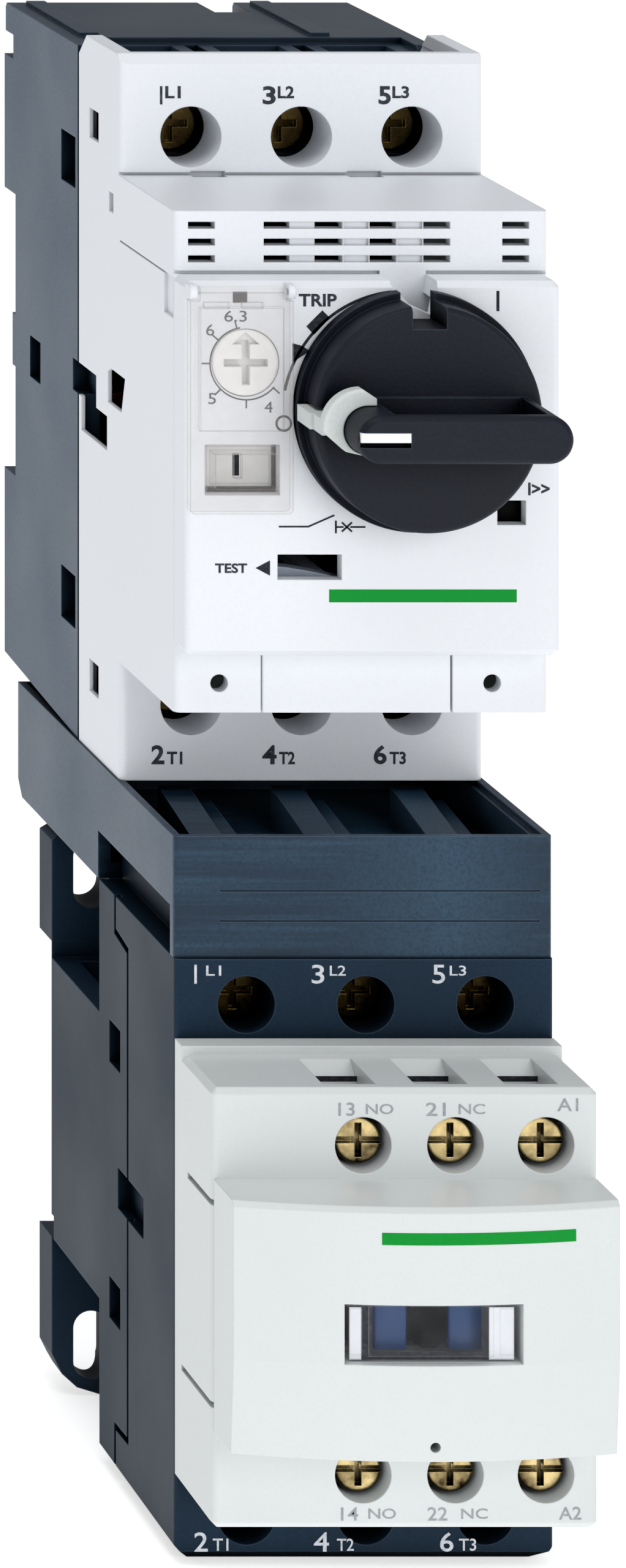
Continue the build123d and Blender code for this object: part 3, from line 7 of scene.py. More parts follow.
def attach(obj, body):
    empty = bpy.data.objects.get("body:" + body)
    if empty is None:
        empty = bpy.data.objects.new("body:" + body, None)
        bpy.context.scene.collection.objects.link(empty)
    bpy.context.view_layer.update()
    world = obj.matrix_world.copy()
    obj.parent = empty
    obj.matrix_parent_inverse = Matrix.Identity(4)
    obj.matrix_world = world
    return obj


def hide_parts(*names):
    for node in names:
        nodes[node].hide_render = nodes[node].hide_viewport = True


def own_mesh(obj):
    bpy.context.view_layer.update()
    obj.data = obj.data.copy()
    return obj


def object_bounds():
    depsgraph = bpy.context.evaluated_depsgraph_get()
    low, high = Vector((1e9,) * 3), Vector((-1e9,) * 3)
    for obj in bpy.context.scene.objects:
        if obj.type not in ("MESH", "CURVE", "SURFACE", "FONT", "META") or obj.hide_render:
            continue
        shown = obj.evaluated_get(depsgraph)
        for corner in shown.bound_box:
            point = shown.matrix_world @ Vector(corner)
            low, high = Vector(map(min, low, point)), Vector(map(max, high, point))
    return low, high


# Motor starter: a rotary circuit breaker, a link block and a three-pole contactor.
# Places are given in millimetres as (x across, out in front of the rail plane, z up).

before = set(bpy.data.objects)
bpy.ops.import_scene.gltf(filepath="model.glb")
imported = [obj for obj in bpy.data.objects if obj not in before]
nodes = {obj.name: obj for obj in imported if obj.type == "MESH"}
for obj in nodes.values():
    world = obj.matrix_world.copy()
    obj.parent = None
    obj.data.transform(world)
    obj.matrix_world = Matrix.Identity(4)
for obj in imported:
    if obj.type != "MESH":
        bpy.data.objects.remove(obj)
cad_low, cad_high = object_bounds()
scene = bpy.context.scene
MM = 0.001


def at(x, out, z):
    """A point in the row frame, in metres, from x, out and z in millimetres."""
    return Vector((x * MM, -out * MM, z * MM))


# ---------------------------------------------------------------- materials

def srgb(red, green, blue):
    """Linear colour from three values of 0 to 255."""
    def linear(value):
        value /= 255
        return value / 12.92 if value <= 0.04045 else ((value + 0.055) / 1.055) ** 2.4
    return (linear(red), linear(green), linear(blue), 1.0)


class Graph:
    """A material's node graph, with short calls for the nodes that every finish here uses."""

    def __init__(self, name):
        self.material = bpy.data.materials.new(name)
        self.material.use_nodes = True
        self.tree = self.material.node_tree
        self.shader = self.tree.nodes["Principled BSDF"]
        self.place = self.node("ShaderNodeTexCoord").outputs["Object"]

    def node(self, kind, **inputs):
        made = self.tree.nodes.new(kind)
        for key, value in inputs.items():
            self.put(made.inputs[key.replace("_", " ")], value)
        return made

    def put(self, socket, value):
        if isinstance(value, bpy.types.NodeSocket):
            self.tree.links.new(value, socket)
        else:
            socket.default_value = value

    def noise(self, scale, detail=2.0, stretch=None):
        place = self.place
        if stretch:
            place = self.node("ShaderNodeMapping", Vector=place, Scale=stretch).outputs[0]
        return self.node("ShaderNodeTexNoise", Vector=place, Scale=scale, Detail=detail).outputs[0]

    def span(self, value, low, high, to_low=0.0, to_high=1.0):
        made = self.node("ShaderNodeMapRange")
        for index, entry in enumerate((value, low, high, to_low, to_high)):
            self.put(made.inputs[index], entry)
        return made.outputs[0]

    def mix(self, factor, first, second):
        made = self.tree.nodes.new("ShaderNodeMix")
        made.data_type = "RGBA"
        for index, value in ((0, factor), (6, first), (7, second)):
            self.put(made.inputs[index], value)
        return made.outputs[2]

    def math(self, operation, first, second):
        made = self.tree.nodes.new("ShaderNodeMath")
        made.operation = operation
        self.put(made.inputs[0], first)
        self.put(made.inputs[1], second)
        return made.outputs[0]

    def rounded(self, radius):
        """The normal of a softly rounded edge, and a mask that is 1 on the edges."""
        made = self.node("ShaderNodeBevel", Radius=radius * MM)
        made.samples = 6
        straight = self.node("ShaderNodeNewGeometry").outputs["Normal"]
        dot = self.tree.nodes.new("ShaderNodeVectorMath")
        dot.operation = "DOT_PRODUCT"
        self.put(dot.inputs[0], made.outputs[0])
        self.put(dot.inputs[1], straight)
        return made.outputs[0], self.span(dot.outputs["Value"], 0.995, 0.8)

    def bump(self, height, distance, strength=1.0, normal=None):
        made = self.node("ShaderNodeBump", Strength=strength, Distance=distance * MM, Height=height)
        if normal is not None:
            self.put(made.inputs["Normal"], normal)
        return made.outputs[0]

    def painted_hollow_shade(self, reach, darkest, closed, open_share, own):
        """Painted shade: a share that falls from 1 in the open to darkest where a recess is closed in."""
        made = self.node("ShaderNodeAmbientOcclusion", Distance=reach * MM)
        made.samples = 6
        made.only_local = own
        return self.span(made.outputs["AO"], closed, open_share, darkest, 1.0)

    def finish(self, **inputs):
        for key, value in inputs.items():
            self.put(self.shader.inputs[key.replace("_", " ")], value)
        return self.material


def scaled(colour, factor):
    return tuple(min(1.0, c * factor) for c in colour[:3]) + (1.0,)


def moulded(name, colour, rough=0.45, grain=0.012, spread=0.06, edge=0.3, worn=None, round_mm=0.25,
            gloss=0.5, painted_side_shading=None, shaded=None, streaks_and_painted_sheen=None):
    """Moulded plastic: a spark-eroded grain, faint clouds of colour, and lighter edges that are partly
    rubbed wear and partly painted highlight.

    worn is the colour of those edges and spread how far the clouds stray from the colour.
    Recesses are painted black as shade and lose their gloss, or where shaded is given they keep that
    share of the colour. A painted side shading colour covers the faces that look sideways, as painted
    light or shade for how light falls on them. A painted sheen colour adds fine level streaks and a
    painted reflection patch right of the middle.
    """
    g = Graph(name)
    cloud = g.noise(38, 4)
    speck = g.noise(2600, 3)
    normal, edges = g.rounded(round_mm)
    body = g.mix(g.span(cloud, 0.3, 0.7), scaled(colour, 1 - spread), scaled(colour, 1 + spread))
    # Painted reflection: a lighter patch right of the middle, over fine level streaks
    if streaks_and_painted_sheen:
        across = g.node("ShaderNodeSeparateXYZ", Vector=g.place).outputs[0]
        painted_sheen_patch = g.math("MULTIPLY", g.span(across, -0.008, 0.010), g.span(across, 0.023, 0.011))
        streaks = g.span(g.noise(900, 3, (0.03, 1, 1)), 0.42, 0.7, 0.0, 0.45)
        body = g.mix(g.math("MAXIMUM", g.math("MULTIPLY", painted_sheen_patch, 0.55), streaks), body, streaks_and_painted_sheen)
    # Painted light and shade: faces that look sideways take another colour for how light falls on them
    if painted_side_shading:
        facing = g.node("ShaderNodeNewGeometry").outputs["Normal"]
        across = g.node("ShaderNodeSeparateXYZ", Vector=facing).outputs[0]
        body = g.mix(g.span(g.math("ABSOLUTE", across, 0.0), 0.6, 0.95), body, painted_side_shading)
    body = g.mix(g.span(speck, 0.4, 0.7, 0.0, 0.5), body, scaled(colour, max(0.0, 1 - 2.2 * spread)))
    # Lighter edges: partly rubbed wear, partly painted highlight
    rubbed_and_highlit = g.math("MULTIPLY", edges, g.span(g.noise(240, 3), 0.25, 0.7, edge * 0.5, edge))
    body = g.mix(rubbed_and_highlit, body, worn or scaled(colour, 1.5))
    # Painted shade: recesses darken towards black, and lose their gloss with it
    if shaded is None:
        shade = g.painted_hollow_shade(7.0, 0.0, 0.3, 0.85, False)
    else:
        shade = g.painted_hollow_shade(2.5, shaded, 0.1, 0.75, True)
    body = g.mix(shade, scaled(colour, 0.06), body)
    return g.finish(Base_Color=body, Specular_IOR_Level=g.math("MULTIPLY", shade, gloss),
                    Roughness=g.span(cloud, 0.3, 0.7, rough - 0.05, rough + 0.06),
                    Normal=g.bump(speck, grain, 1.0, normal))


def metal(name, colour, stain_and_painted_reflection, rough=0.3, stain_and_painted_reflection_share=0.5, stretch=(1, 1, 1), painted_well_shade=None):
    """Plated or drawn metal: fine lines, stains that on some screws stand in as painted dark reflections,
    and brighter edges that are partly rubbed wear and partly painted highlight.

    The painted well shade gives the reach in mm and the two openness values between which a sunken
    face is painted black as shade, while its edges keep painted glints.
    """
    g = Graph(name)
    cloud = g.noise(330, 4)
    lines = g.noise(1400, 3, stretch)
    normal, edges = g.rounded(0.15)
    # Stains, and on the screws near-black patches as painted dark reflections
    body = g.mix(g.span(cloud, 0.4, 0.7, 0.0, stain_and_painted_reflection_share), colour, stain_and_painted_reflection)
    # Brighter edges: partly rubbed wear, partly painted highlight
    body = g.mix(g.math("MULTIPLY", edges, 0.5), body, scaled(colour, 1.35))
    if painted_well_shade:
        reach, closed, open_share = painted_well_shade
        # Painted shade in wells and grooves, with the edges kept bright as painted glints
        lit = g.math("MAXIMUM", g.painted_hollow_shade(reach, 0.0, closed, open_share, False),
                     g.math("MULTIPLY", edges, 0.8))
        body = g.mix(lit, scaled(colour, 0.01), body)
    return g.finish(Base_Color=body, Metallic=1.0,
                    Roughness=g.span(lines, 0.3, 0.7, rough - 0.1, rough + 0.12),
                    Normal=g.bump(lines, 0.01, 1.0, normal))


def clear(name, colour, alpha, edge_alpha, rough=0.12):
    """Clear moulding: see-through in the middle, hazy along its edges."""
    g = Graph(name)
    normal, edges = g.rounded(0.3)
    haze = g.span(g.noise(420, 4), 0.3, 0.7, alpha * 0.7, alpha * 1.3)
    share = g.math("MAXIMUM", haze, g.math("MULTIPLY", edges, edge_alpha))
    return g.finish(Base_Color=g.mix(edges, colour, scaled(colour, 0.55)), Roughness=rough, Alpha=share,
                    Normal=g.bump(g.noise(160, 2), 0.02, 0.6, normal))


def ink(name, colour, worn):
    """Printed ink, a little broken by the grain below it."""
    g = Graph(name)
    speck = g.noise(1800, 3)
    body = g.mix(g.span(speck, 0.45, 0.75, 0.0, 0.6), colour, worn)
    return g.finish(Base_Color=body, Specular_IOR_Level=0.15,
                    Roughness=g.span(speck, 0.3, 0.7, 0.5, 0.65))


def laminated(name):
    """Stacked iron sheets: lines across the stack, and a ground pole face."""
    g = Graph(name)
    wave = g.node("ShaderNodeTexWave", Vector=g.place, Scale=600.0, Distortion=0.4)
    wave.bands_direction = "Z"
    body = g.mix(g.span(wave.outputs[1], 0.2, 0.8), srgb(92, 92, 96), srgb(150, 150, 154))
    body = g.mix(g.span(g.noise(200, 3), 0.55, 0.8, 0.0, 0.5), body, srgb(110, 84, 60))
    return g.finish(Base_Color=body, Metallic=0.85, Roughness=0.42,
                    Normal=g.bump(wave.outputs[1], 0.02))


# Colours that several finishes share
SLATE = srgb(24, 44, 62)
# Edge colour of the slate parts: rubbed wear and painted highlight
SLATE_WORN_AND_HIGHLIT = srgb(104, 124, 146)
BRASS = srgb(224, 186, 108)

FINISH = {
    # Slate whose sideways faces are painted lighter for how light falls on them
    "dark_plastic": moulded(
        "slate_plastic", SLATE, rough=0.42, grain=0.02, spread=0.16, edge=0.5, worn=SLATE_WORN_AND_HIGHLIT,
        gloss=0.25, painted_side_shading=srgb(56, 78, 98)),
    # The same slate with its sideways faces painted darker as shade, and less gloss, for the contactor
    "contactor_plastic": moulded(
        "side_shaded_slate_plastic", SLATE, rough=0.5, grain=0.02, spread=0.16, edge=0.5, worn=SLATE_WORN_AND_HIGHLIT,
        gloss=0.12, painted_side_shading=srgb(22, 40, 56)),
    # Slate with level streaks and a painted reflection patch, its sideways faces painted lighter
    "link_plastic": moulded(
        "streaked_slate_plastic_painted_sheen", SLATE, rough=0.4, grain=0.02, spread=0.16, edge=0.6, worn=SLATE_WORN_AND_HIGHLIT,
        gloss=0.25, painted_side_shading=srgb(52, 74, 94), streaks_and_painted_sheen=srgb(52, 86, 110)),
    "pale_plastic": moulded(
        "pale_plastic", srgb(226, 229, 234), rough=0.42, grain=0.008, spread=0.02, edge=0.6,
        worn=srgb(250, 251, 252), shaded=0.7),
    "cover_plastic": moulded(
        "cover_plastic", srgb(212, 216, 216), rough=0.42, grain=0.008, spread=0.02, edge=0.6,
        worn=srgb(246, 248, 248), shaded=0.6),
    # Lighter rim edges: rubbed wear and painted highlight
    "knob_plastic": moulded(
        "knob_plastic", srgb(14, 20, 32), rough=0.5, grain=0.03, spread=0.3, edge=0.8,
        worn=srgb(84, 96, 114), gloss=0.22),
    "grey_plastic": moulded(
        "grey_plastic", srgb(206, 212, 210), rough=0.45, grain=0.01, spread=0.05, edge=0.4,
        worn=srgb(236, 240, 238), shaded=0.6),
    "slider_plastic": moulded(
        "slider_plastic", srgb(128, 138, 152), rough=0.45, grain=0.01, spread=0.08, edge=0.4,
        worn=srgb(206, 212, 220), shaded=0.6),
    "white_plastic": moulded(
        "white_plastic", srgb(240, 240, 238), rough=0.4, grain=0.008, spread=0.02, edge=0.4,
        worn=srgb(252, 252, 250), shaded=0.88),
    "black_plastic": moulded(
        "black_plastic", srgb(20, 21, 25), rough=0.5, grain=0.014, spread=0.12, edge=0.4,
        worn=srgb(70, 72, 76), gloss=0.25),
    "blue_plastic": moulded(
        "blue_plastic", srgb(18, 60, 112), rough=0.4, grain=0.01, spread=0.08, edge=0.5,
        worn=srgb(90, 128, 176), gloss=0.3, shaded=0.3),
    "beige_plastic": moulded(
        "beige_plastic", srgb(196, 184, 158), rough=0.5, grain=0.01, spread=0.05, edge=0.3,
        worn=srgb(222, 212, 190), shaded=0.5),
    "rubber": moulded(
        "rubber", srgb(40, 40, 42), rough=0.75, grain=0.03, spread=0.12, edge=0.2,
        worn=srgb(74, 74, 76)),
    "clear_plastic": clear("clear_plastic", srgb(214, 208, 206), alpha=0.12, edge_alpha=0.6),
    "clear_window": clear("clear_window", srgb(226, 230, 236), alpha=0.02, edge_alpha=0.4),
    # Near-black patches over the heads are painted dark reflections; the grooves are painted black as
    # shade
    "zinc_screw": metal(
        "yellow_zinc", srgb(220, 196, 140), srgb(40, 28, 12), rough=0.24, stain_and_painted_reflection_share=1.0,
        painted_well_shade=(2.6, 0.34, 0.7)),
    # Brass painted near black as shade deep in the terminal wells, keeping painted glints on its edges
    "well_screw": metal(
        "shaded_brass", BRASS, srgb(112, 78, 34), rough=0.24, stain_and_painted_reflection_share=0.7, painted_well_shade=(11.0, 0.14, 0.8)),
    "deep_screw": metal(
        "deep_shaded_brass", BRASS, srgb(60, 42, 18), rough=0.24, stain_and_painted_reflection_share=0.9, painted_well_shade=(11.0, 0.3, 0.95)),
    "brass_clamp": metal(
        "brass", srgb(206, 166, 88), srgb(120, 84, 36), rough=0.32, painted_well_shade=(6.0, 0.1, 0.6)),
    "copper": metal(
        "copper", srgb(204, 124, 88), srgb(132, 66, 42), rough=0.34, stretch=(1, 1, 14),
        painted_well_shade=(14.0, 0.45, 0.95)),
    "steel": metal(
        "steel", srgb(190, 192, 196), srgb(124, 126, 132), stain_and_painted_reflection_share=0.4, stretch=(1, 1, 10),
        painted_well_shade=(6.0, 0.1, 0.6)),
    "laminated_iron": laminated("laminated_iron"),
}
# Nodes whose finish isn't the one that their slot names
SPECIAL = {
    "breaker_terminal_screws": "well_screw",
    "breaker_terminal_clamps": "well_screw",
    "power_terminal_screws": "deep_screw",
    "power_terminal_clamps": "deep_screw",
    "link_housing": "link_plastic",
    "pole_housing": "contactor_plastic",
    "contactor_base": "contactor_plastic",
    "test_slider": "slider_plastic",
    "window_lens": "clear_window",
    "terminal_cover": "cover_plastic",
    "front_cover": "cover_plastic",
}
dark_ink = ink("dark_ink", srgb(44, 47, 54), srgb(84, 88, 96))
black_ink = ink("black_ink", srgb(30, 32, 38), srgb(70, 72, 80))
grey_ink = ink("grey_ink", srgb(150, 153, 158), srgb(186, 188, 192))
white_ink = ink("white_ink", srgb(214, 218, 224), srgb(150, 158, 168))
green_ink = ink("green_ink", srgb(0, 140, 44), srgb(4, 148, 56))

for name, node in nodes.items():
    slot_name = node.data.materials[0].name.split(".")[0] if node.data.materials else ""
    node.data.materials.clear()
    node.data.materials.append(FINISH[SPECIAL.get(name, slot_name)])


# ---------------------------------------------------------------- mesh helpers

def piece(name, mesh, body, material, smooth=False):
    """A new piece that rides on a body and takes its finish from a slot."""
    made = bpy.data.objects.new(name, mesh)
    scene.collection.objects.link(made)
    mesh.materials.clear()
    mesh.materials.append(material)
    if smooth:
        mesh.shade_smooth()
    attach(made, body)
    return made


# How far a print or a thin plate stands in front of its surface, and how far it reaches into it
INK = 0.03
SUNK = 0.02


def plates(name, body, outlines, out, material):
    """Thin closed plates from (x, z) outlines, on the plane at out."""
    bm = bmesh.new()
    for outline in outlines:
        front = [bm.verts.new(at(x, out + INK, z)) for x, z in outline]
        rear = [bm.verts.new(at(x, out - SUNK, z)) for x, z in outline]
        bm.faces.new(front)
        bm.faces.new(rear[::-1])
        count = len(outline)
        for i in range(count):
            j = (i + 1) % count
            bm.faces.new((front[i], rear[i], rear[j], front[j]))
    bmesh.ops.recalc_face_normals(bm, faces=bm.faces)
    mesh = bpy.data.meshes.new(name)
    bm.to_mesh(mesh)
    bm.free()
    return piece(name, mesh, body, material)


def line(points, width):
    """Outline of a ribbon of one width along (x, z) points."""
    left, right = [], []
    for i, point in enumerate(points):
        before = points[max(0, i - 1)]
        after = points[min(len(points) - 1, i + 1)]
        along = (Vector(after) - Vector(before)).normalized()
        side = Vector((-along.y, along.x)) * width / 2
        left.append((point[0] + side.x, point[1] + side.y))
        right.append((point[0] - side.x, point[1] - side.y))
    return left + right[::-1]


def arc(centre, radius, start, end, steps=24):
    """Points of an arc, with angles in degrees from +x towards +z."""
    return [(centre[0] + radius * math.cos(math.radians(start + (end - start) * i / steps)),
             centre[1] + radius * math.sin(math.radians(start + (end - start) * i / steps)))
            for i in range(steps + 1)]


def ring(centre, radius, width, parts=4):
    """Outlines of a closed ring, cut into arcs so that each outline stays simple."""
    step = 360 / parts
    return [line(arc(centre, radius, i * step, (i + 1) * step, 12), width) for i in range(parts)]


def bar(x0, x1, z0, z1):
    """Outline of an upright rectangle."""
    return [(x0, z0), (x1, z0), (x1, z1), (x0, z1)]


def lettering(name, body, words, out, material, bold=0.0):
    """Printed figures: words holds (text, left x, right x, foot z, height), and each fills its box."""
    bm = bmesh.new()
    for text, left, right, foot, height in words:
        curve = bpy.data.curves.new("figures", "FONT")
        curve.body = text
        curve.resolution_u = 4
        curve.offset = bold
        curve.extrude = 0.01
        holder = bpy.data.objects.new("figures", curve)
        scene.collection.objects.link(holder)
        bpy.context.view_layer.update()
        depsgraph = bpy.context.evaluated_depsgraph_get()
        mesh = bpy.data.meshes.new_from_object(holder.evaluated_get(depsgraph))
        across = [v.co.x for v in mesh.vertices]
        upward = [v.co.y for v in mesh.vertices]
        wide = (right - left) / (max(across) - min(across))
        tall = height / (max(upward) - min(upward))
        for v in mesh.vertices:
            forward = INK if v.co.z > 0 else -SUNK
            x = left + (v.co.x - min(across)) * wide
            z = foot + (v.co.y - min(upward)) * tall
            v.co = at(x, out + forward, z)
        bm.from_mesh(mesh)
        bpy.data.objects.remove(holder)
        bpy.data.curves.remove(curve)
        bpy.data.meshes.remove(mesh)
    bmesh.ops.remove_doubles(bm, verts=bm.verts, dist=1e-7)
    bmesh.ops.recalc_face_normals(bm, faces=bm.faces)
    mesh = bpy.data.meshes.new(name)
    bm.to_mesh(mesh)
    bm.free()
    return piece(name, mesh, body, material)


# ---------------------------------------------------------------- printed marks

# Surfaces that carry print or thin plates, by how far they stand in front of the rail plane
TIER = 55.9  # the breaker's end tiers
PANEL = 84.4  # the breaker's front panel
POCKET = 81.9  # the panel's floor under the sealing cover's pocket
STRIP = 81.0  # the contactor's dark end strips
COVER = 96.6  # the contactor's terminal cover
MOUTH = 87.85  # just in front of the rear wall of its wire mouths
PANE = 105.6  # just behind the window's pane
# Centres of the knob and of the setting dial, and the x of the auxiliary screws
KNOB = (4.6, 7.2)
DIAL = (-15.0, 12.5)
AUX_ROW = (-4.9, 5.85, 16.4)

lettering("breaker_terminal_numbers", "casing", [
    ("1", -17.35, -17.05, 38.4, 2.25), ("3", -4.75, -3.15, 38.4, 2.25), ("5", 9.45, 10.95, 38.4, 2.25),
    ("2", -18.4, -16.8, -42.5, 2.35), ("4", -4.8, -3.05, -42.5, 2.35), ("6", 8.85, 10.45, -42.5, 2.35),
    ], TIER, dark_ink, 0.028)
lettering("breaker_terminal_letters", "casing", [
    ("L1", -16.7, -14.8, 39.15, 1.5), ("L2", -2.9, -0.9, 39.15, 1.5), ("L3", 11.15, 13.2, 39.15, 1.5),
    ("T1", -16.5, -14.6, -42.5, 1.55), ("T2", -2.75, -0.8, -42.5, 1.55), ("T3", 10.8, 12.8, -42.5, 1.55),
    ], TIER, dark_ink, 0.028)
lettering("breaker_panel_words", "casing", [
    ("TRIP", -8.8, -4.3, 19.25, 1.5), ("TEST", -18.7, -14.9, -12.3, 1.15), ("I>>", 18.35, 20.9, -3.1, 1.5),
    ], PANEL, dark_ink, 0.028)
lettering("breaker_dial_numbers", "casing", [
    ("6", -19.75, -18.8, 15.8, 1.35), ("6.3", -17.6, -14.95, 17.45, 1.3), ("5", -19.5, -18.6, 7.7, 1.3),
    ("4", -12.85, -11.9, 6.7, 1.3),
    ], PANEL, dark_ink)

# I, the widening arc from I to O, O, the trip block, the arc's head and the test slider's arrow
SWEEP_STEPS = 36
sweep = [arc(KNOB, 14.0 + 1.2 * i / SWEEP_STEPS, 100 + 2 * i, 100 + 2 * i, 1)[0]
         for i in range(SWEEP_STEPS + 1)]
marks = [bar(14.6, 14.95, 18.7, 21.1), line(sweep, 0.34)]
marks += ring((-10.57, 5.4), 0.86, 0.26)
marks.append([(-7.9, 16.9), (-7.0, 15.9), (-5.1, 17.9), (-6.0, 18.8)])
marks.append([(-9.55, 12.6), (-7.5, 14.0), (-8.4, 14.6), (-9.55, 14.9)])
marks.append([(-13.9, -11.7), (-12.2, -12.6), (-12.2, -10.8)])
plates("breaker_knob_marks", "casing", marks, PANEL, black_ink)

# The sign of a switch that trips: a contact arm, its bar and a cross.
sign = [line([(-11.15, -6.8), (-7.66, -6.8), (-4.58, -5.45)], 0.2),
        line([(-4.4, -6.1), (-4.4, -7.6)], 0.22),
        line([(-3.7, -6.3), (-2.5, -7.4)], 0.22), line([(-3.7, -7.4), (-2.5, -6.3)], 0.22),
        line([(-4.4, -6.85), (-3.5, -6.85)], 0.2), line([(-2.7, -6.85), (-0.9, -6.85)], 0.2)]
plates("breaker_switch_sign", "casing", sign, PANEL, black_ink)

ticks = [line(arc(DIAL, 4.3, start, start + 110, 20), 0.16) for start in (100, 210)]
for angle in (105, 140, 180, 225, 270, 318):
    ticks.append(line([arc(DIAL, r, angle, angle, 1)[0] for r in (4.35, 5.3)], 0.17))
plates("dial_ticks", "casing", ticks, PANEL, dark_ink)

# Painted shade: a black plate where the notch behind the sealing cover's top strip lies in shadow
plates("seal_notch_painted_shade", "casing", [bar(-16.6, -14.9, 19.7, 21.0)], PANEL, black_ink)

# The panel's floor under the cover's seal pocket, with a black plate as painted shade inside its slot
plates("seal_pocket_floor", "casing", [bar(-19.6, -11.3, -2.6, 2.6)], POCKET, FINISH["white_plastic"])
plates("seal_pocket_slot_painted_shade", "casing", [bar(-15.95, -15.15, -1.3, 1.3)], POCKET + 0.04, black_ink)

plates("breaker_stripe", "casing", [bar(-5.2, 17.0, -15.76, -14.24)], PANEL, green_ink)

lettering("contactor_terminal_numbers", "casing", [
    ("1", -20.2, -19.9, -61.9, 2.25), ("3", -6.25, -4.75, -61.9, 2.25), ("5", 8.1, 9.6, -61.9, 2.25),
    ("2", -20.2, -18.6, -129.4, 2.3), ("4", -6.0, -4.2, -129.4, 2.3), ("6", 9.0, 10.6, -129.4, 2.3),
    ], STRIP, white_ink, 0.008)
lettering("contactor_terminal_letters", "casing", [
    ("L1", -18.8, -17.0, -60.95, 1.2), ("L2", -4.1, -2.2, -60.95, 1.2), ("L3", 10.15, 12.1, -60.95, 1.2),
    ("T1", -18.0, -16.15, -129.3, 1.45), ("T2", -3.25, -1.25, -129.3, 1.45),
    ("T3", 11.25, 13.3, -129.3, 1.45),
    ], STRIP, white_ink, 0.008)
lettering("contactor_aux_marks", "casing", [
    ("13", -7.8, -5.9, -72.65, 1.55), ("NO", -4.6, -1.4, -72.45, 1.2),
    ("21", 2.4, 4.7, -72.65, 1.55), ("NC", 6.2, 9.3, -72.45, 1.2), ("A1", 17.7, 20.15, -72.1, 1.5),
    ("14", -7.5, -5.5, -119.8, 1.55), ("NO", -4.3, -1.1, -119.6, 1.2),
    ("22", 2.6, 4.9, -119.8, 1.55), ("NC", 6.5, 9.6, -119.6, 1.2), ("A2", 17.9, 20.5, -119.7, 1.5),
    ], COVER, grey_ink, 0.008)


def wrapped(name, target, x0, x1, z0, z1, steps, material):
    """A printed strip that follows the front surface of a node."""
    before_part = 150
    to_node = target.matrix_world.inverted()
    forward = Vector((0, -1, 0))
    bm = bmesh.new()
    rows = []
    for i in range(steps + 1):
        x = x0 + (x1 - x0) * i / steps
        row = []
        for z in (z0, z1):
            spot = target.ray_cast(to_node @ at(x, before_part, z), -forward)[1]
            surface = target.matrix_world @ spot
            row += [bm.verts.new(surface + forward * INK * MM),
                    bm.verts.new(surface - forward * SUNK * MM)]
        rows.append(row)
    for first, second in zip(rows, rows[1:]):
        for a, b in ((0, 2), (2, 3), (3, 1), (1, 0)):
            bm.faces.new((first[a], first[b], second[b], second[a]))
    for row in (rows[0], rows[-1]):
        bm.faces.new([row[k] for k in (0, 2, 3, 1)])
    bmesh.ops.recalc_face_normals(bm, faces=bm.faces)
    mesh = bpy.data.meshes.new(name)
    bm.to_mesh(mesh)
    bm.free()
    return piece(name, mesh, "casing", material)


wrapped("contactor_stripe", nodes["front_cover"], -5.9, 16.85, -84.2, -82.8, 24, green_ink)


# Painted shadow: black strips where a thin gap at the foot of each wire mouth's ramp would lie in shade
plates("wire_mouth_painted_shadow_slits", "casing", [bar(x - 3.4, x + 1.95, -71.4, -70.75) for x in AUX_ROW], MOUTH,
       black_ink)

# Behind the window's pane: pale cheeks, and black plates as painted shade around the indicator
PANE_FOOT = -97.85
cheeks = [bar(-9.3, -7.9, PANE_FOOT, -91.8), bar(6.8, 9.7, PANE_FOOT, -91.8)]
plates("window_cheeks", "casing", cheeks, PANE, FINISH["pale_plastic"])
surround = [bar(-7.9, -6.6, PANE_FOOT, -91.5), bar(5.95, 6.8, PANE_FOOT, -91.5),
            bar(-6.6, 5.95, PANE_FOOT, -96.95)]
plates("window_painted_shade_surround", "casing", surround, PANE, black_ink)


# ---------------------------------------------------------------- spring twins

def shortening(node_name):
    """A spring's twin with a mesh of its own, riding on the casing, while the CAD spring is hidden.
    """
    twin = nodes[node_name].copy()
    twin.data = nodes[node_name].data.copy()
    twin.name = node_name + "_flexing"
    scene.collection.objects.link(twin)
    twin.animation_data_clear()
    for key in list(twin.keys()):
        del twin[key]
    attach(twin, "casing")
    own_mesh(twin)
    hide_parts(node_name)


shortening("return_springs")
shortening("breaker_clip_spring")
shortening("contactor_clip_spring")


# ---------------------------------------------------------------- stage, lights and camera

def floor_finish():
    g = Graph("pale_floor")
    cloud = g.noise(3, 3)
    colour = g.mix(g.span(cloud, 0.3, 0.7), srgb(250, 250, 250), srgb(255, 255, 255))
    return g.finish(Base_Color=colour, Roughness=0.9, Emission_Color=colour, Emission_Strength=0.6)


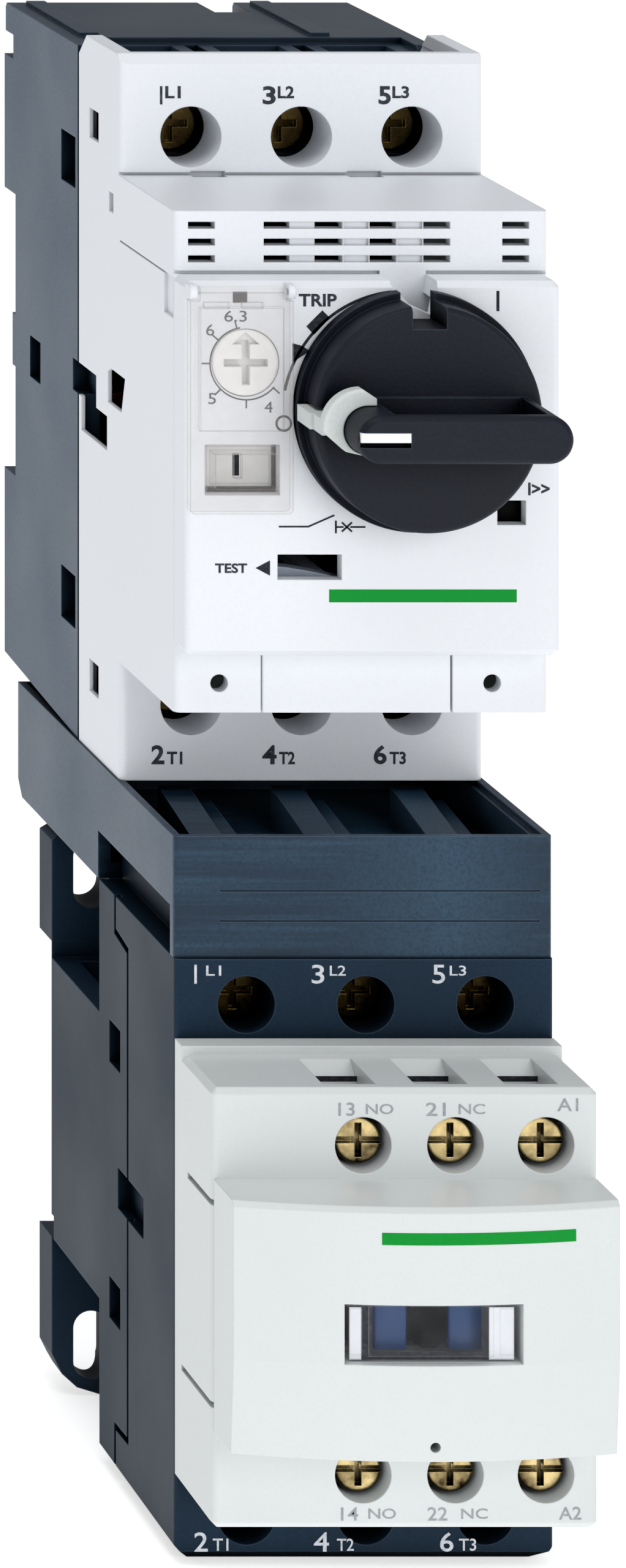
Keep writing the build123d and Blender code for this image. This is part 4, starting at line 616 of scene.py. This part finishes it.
FLOOR_REACH = 6.0
FLOOR_GAP = 0.2 * MM
floor_mesh = bpy.data.meshes.new("floor")
corners = [(x * FLOOR_REACH, y * FLOOR_REACH, 0) for x, y in ((-1, -1), (1, -1), (1, 1), (-1, 1))]
floor_mesh.from_pydata(corners, [], [(0, 1, 2, 3)])
floor_mesh.materials.append(floor_finish())
floor = bpy.data.objects.new("floor", floor_mesh)
floor.location = (0, 0, cad_low.z - FLOOR_GAP)
scene.collection.objects.link(floor)

world = bpy.data.worlds.new("studio")
scene.world = world
world.use_nodes = True
background = world.node_tree.nodes["Background"]
background.inputs["Color"].default_value = (0.97, 0.985, 1.0, 1.0)
background.inputs["Strength"].default_value = 0.42


def softbox(name, spot, aim, size, power, colour=(1, 1, 1)):
    """A soft area light at spot that faces aim, of a size in metres and a power in watts."""
    light = bpy.data.lights.new(name, "AREA")
    light.shape = "RECTANGLE"
    light.size, light.size_y = size
    light.energy = power
    light.color = colour
    holder = bpy.data.objects.new(name, light)
    scene.collection.objects.link(holder)
    holder.location = spot
    holder.rotation_euler = (Vector(aim) - Vector(spot)).to_track_quat("-Z", "Y").to_euler()


centre = (cad_low + cad_high) / 2
softbox("key", (0.3, -0.95, 0.3), centre, (0.5, 0.5), 2.7)
softbox("top", (-0.15, -0.3, 0.75), centre, (0.5, 0.4), 2.2)
softbox("left", (-0.85, -0.45, 0.1), centre, (0.4, 0.7), 0.5, (0.94, 0.97, 1.0))

# The camera's film stays parallel to the front faces, as on a view camera, so uprights stay upright
# and only the depth recedes.
eye = at(-243.45, 874.4, 175.1)
axis_back = Vector((-0.29917, -1.0, 0.26881)).normalized()
camera_data = bpy.data.cameras.new("camera")
camera_data.lens = 165.2
camera_data.sensor_width = 36
camera_data.clip_start, camera_data.clip_end = 0.05, 30
camera = bpy.data.objects.new("camera", camera_data)
scene.collection.objects.link(camera)
holder = bpy.data.objects.new("camera_holder", None)
scene.collection.objects.link(holder)
camera.parent = holder
camera.matrix_parent_inverse = Matrix(((1, 0, axis_back.x, eye.x), (0, 0, axis_back.y, eye.y),
                                       (0, 1, axis_back.z, eye.z), (0, 0, 0, 1)))
scene.camera = camera
scene.view_settings.view_transform = "Standard"
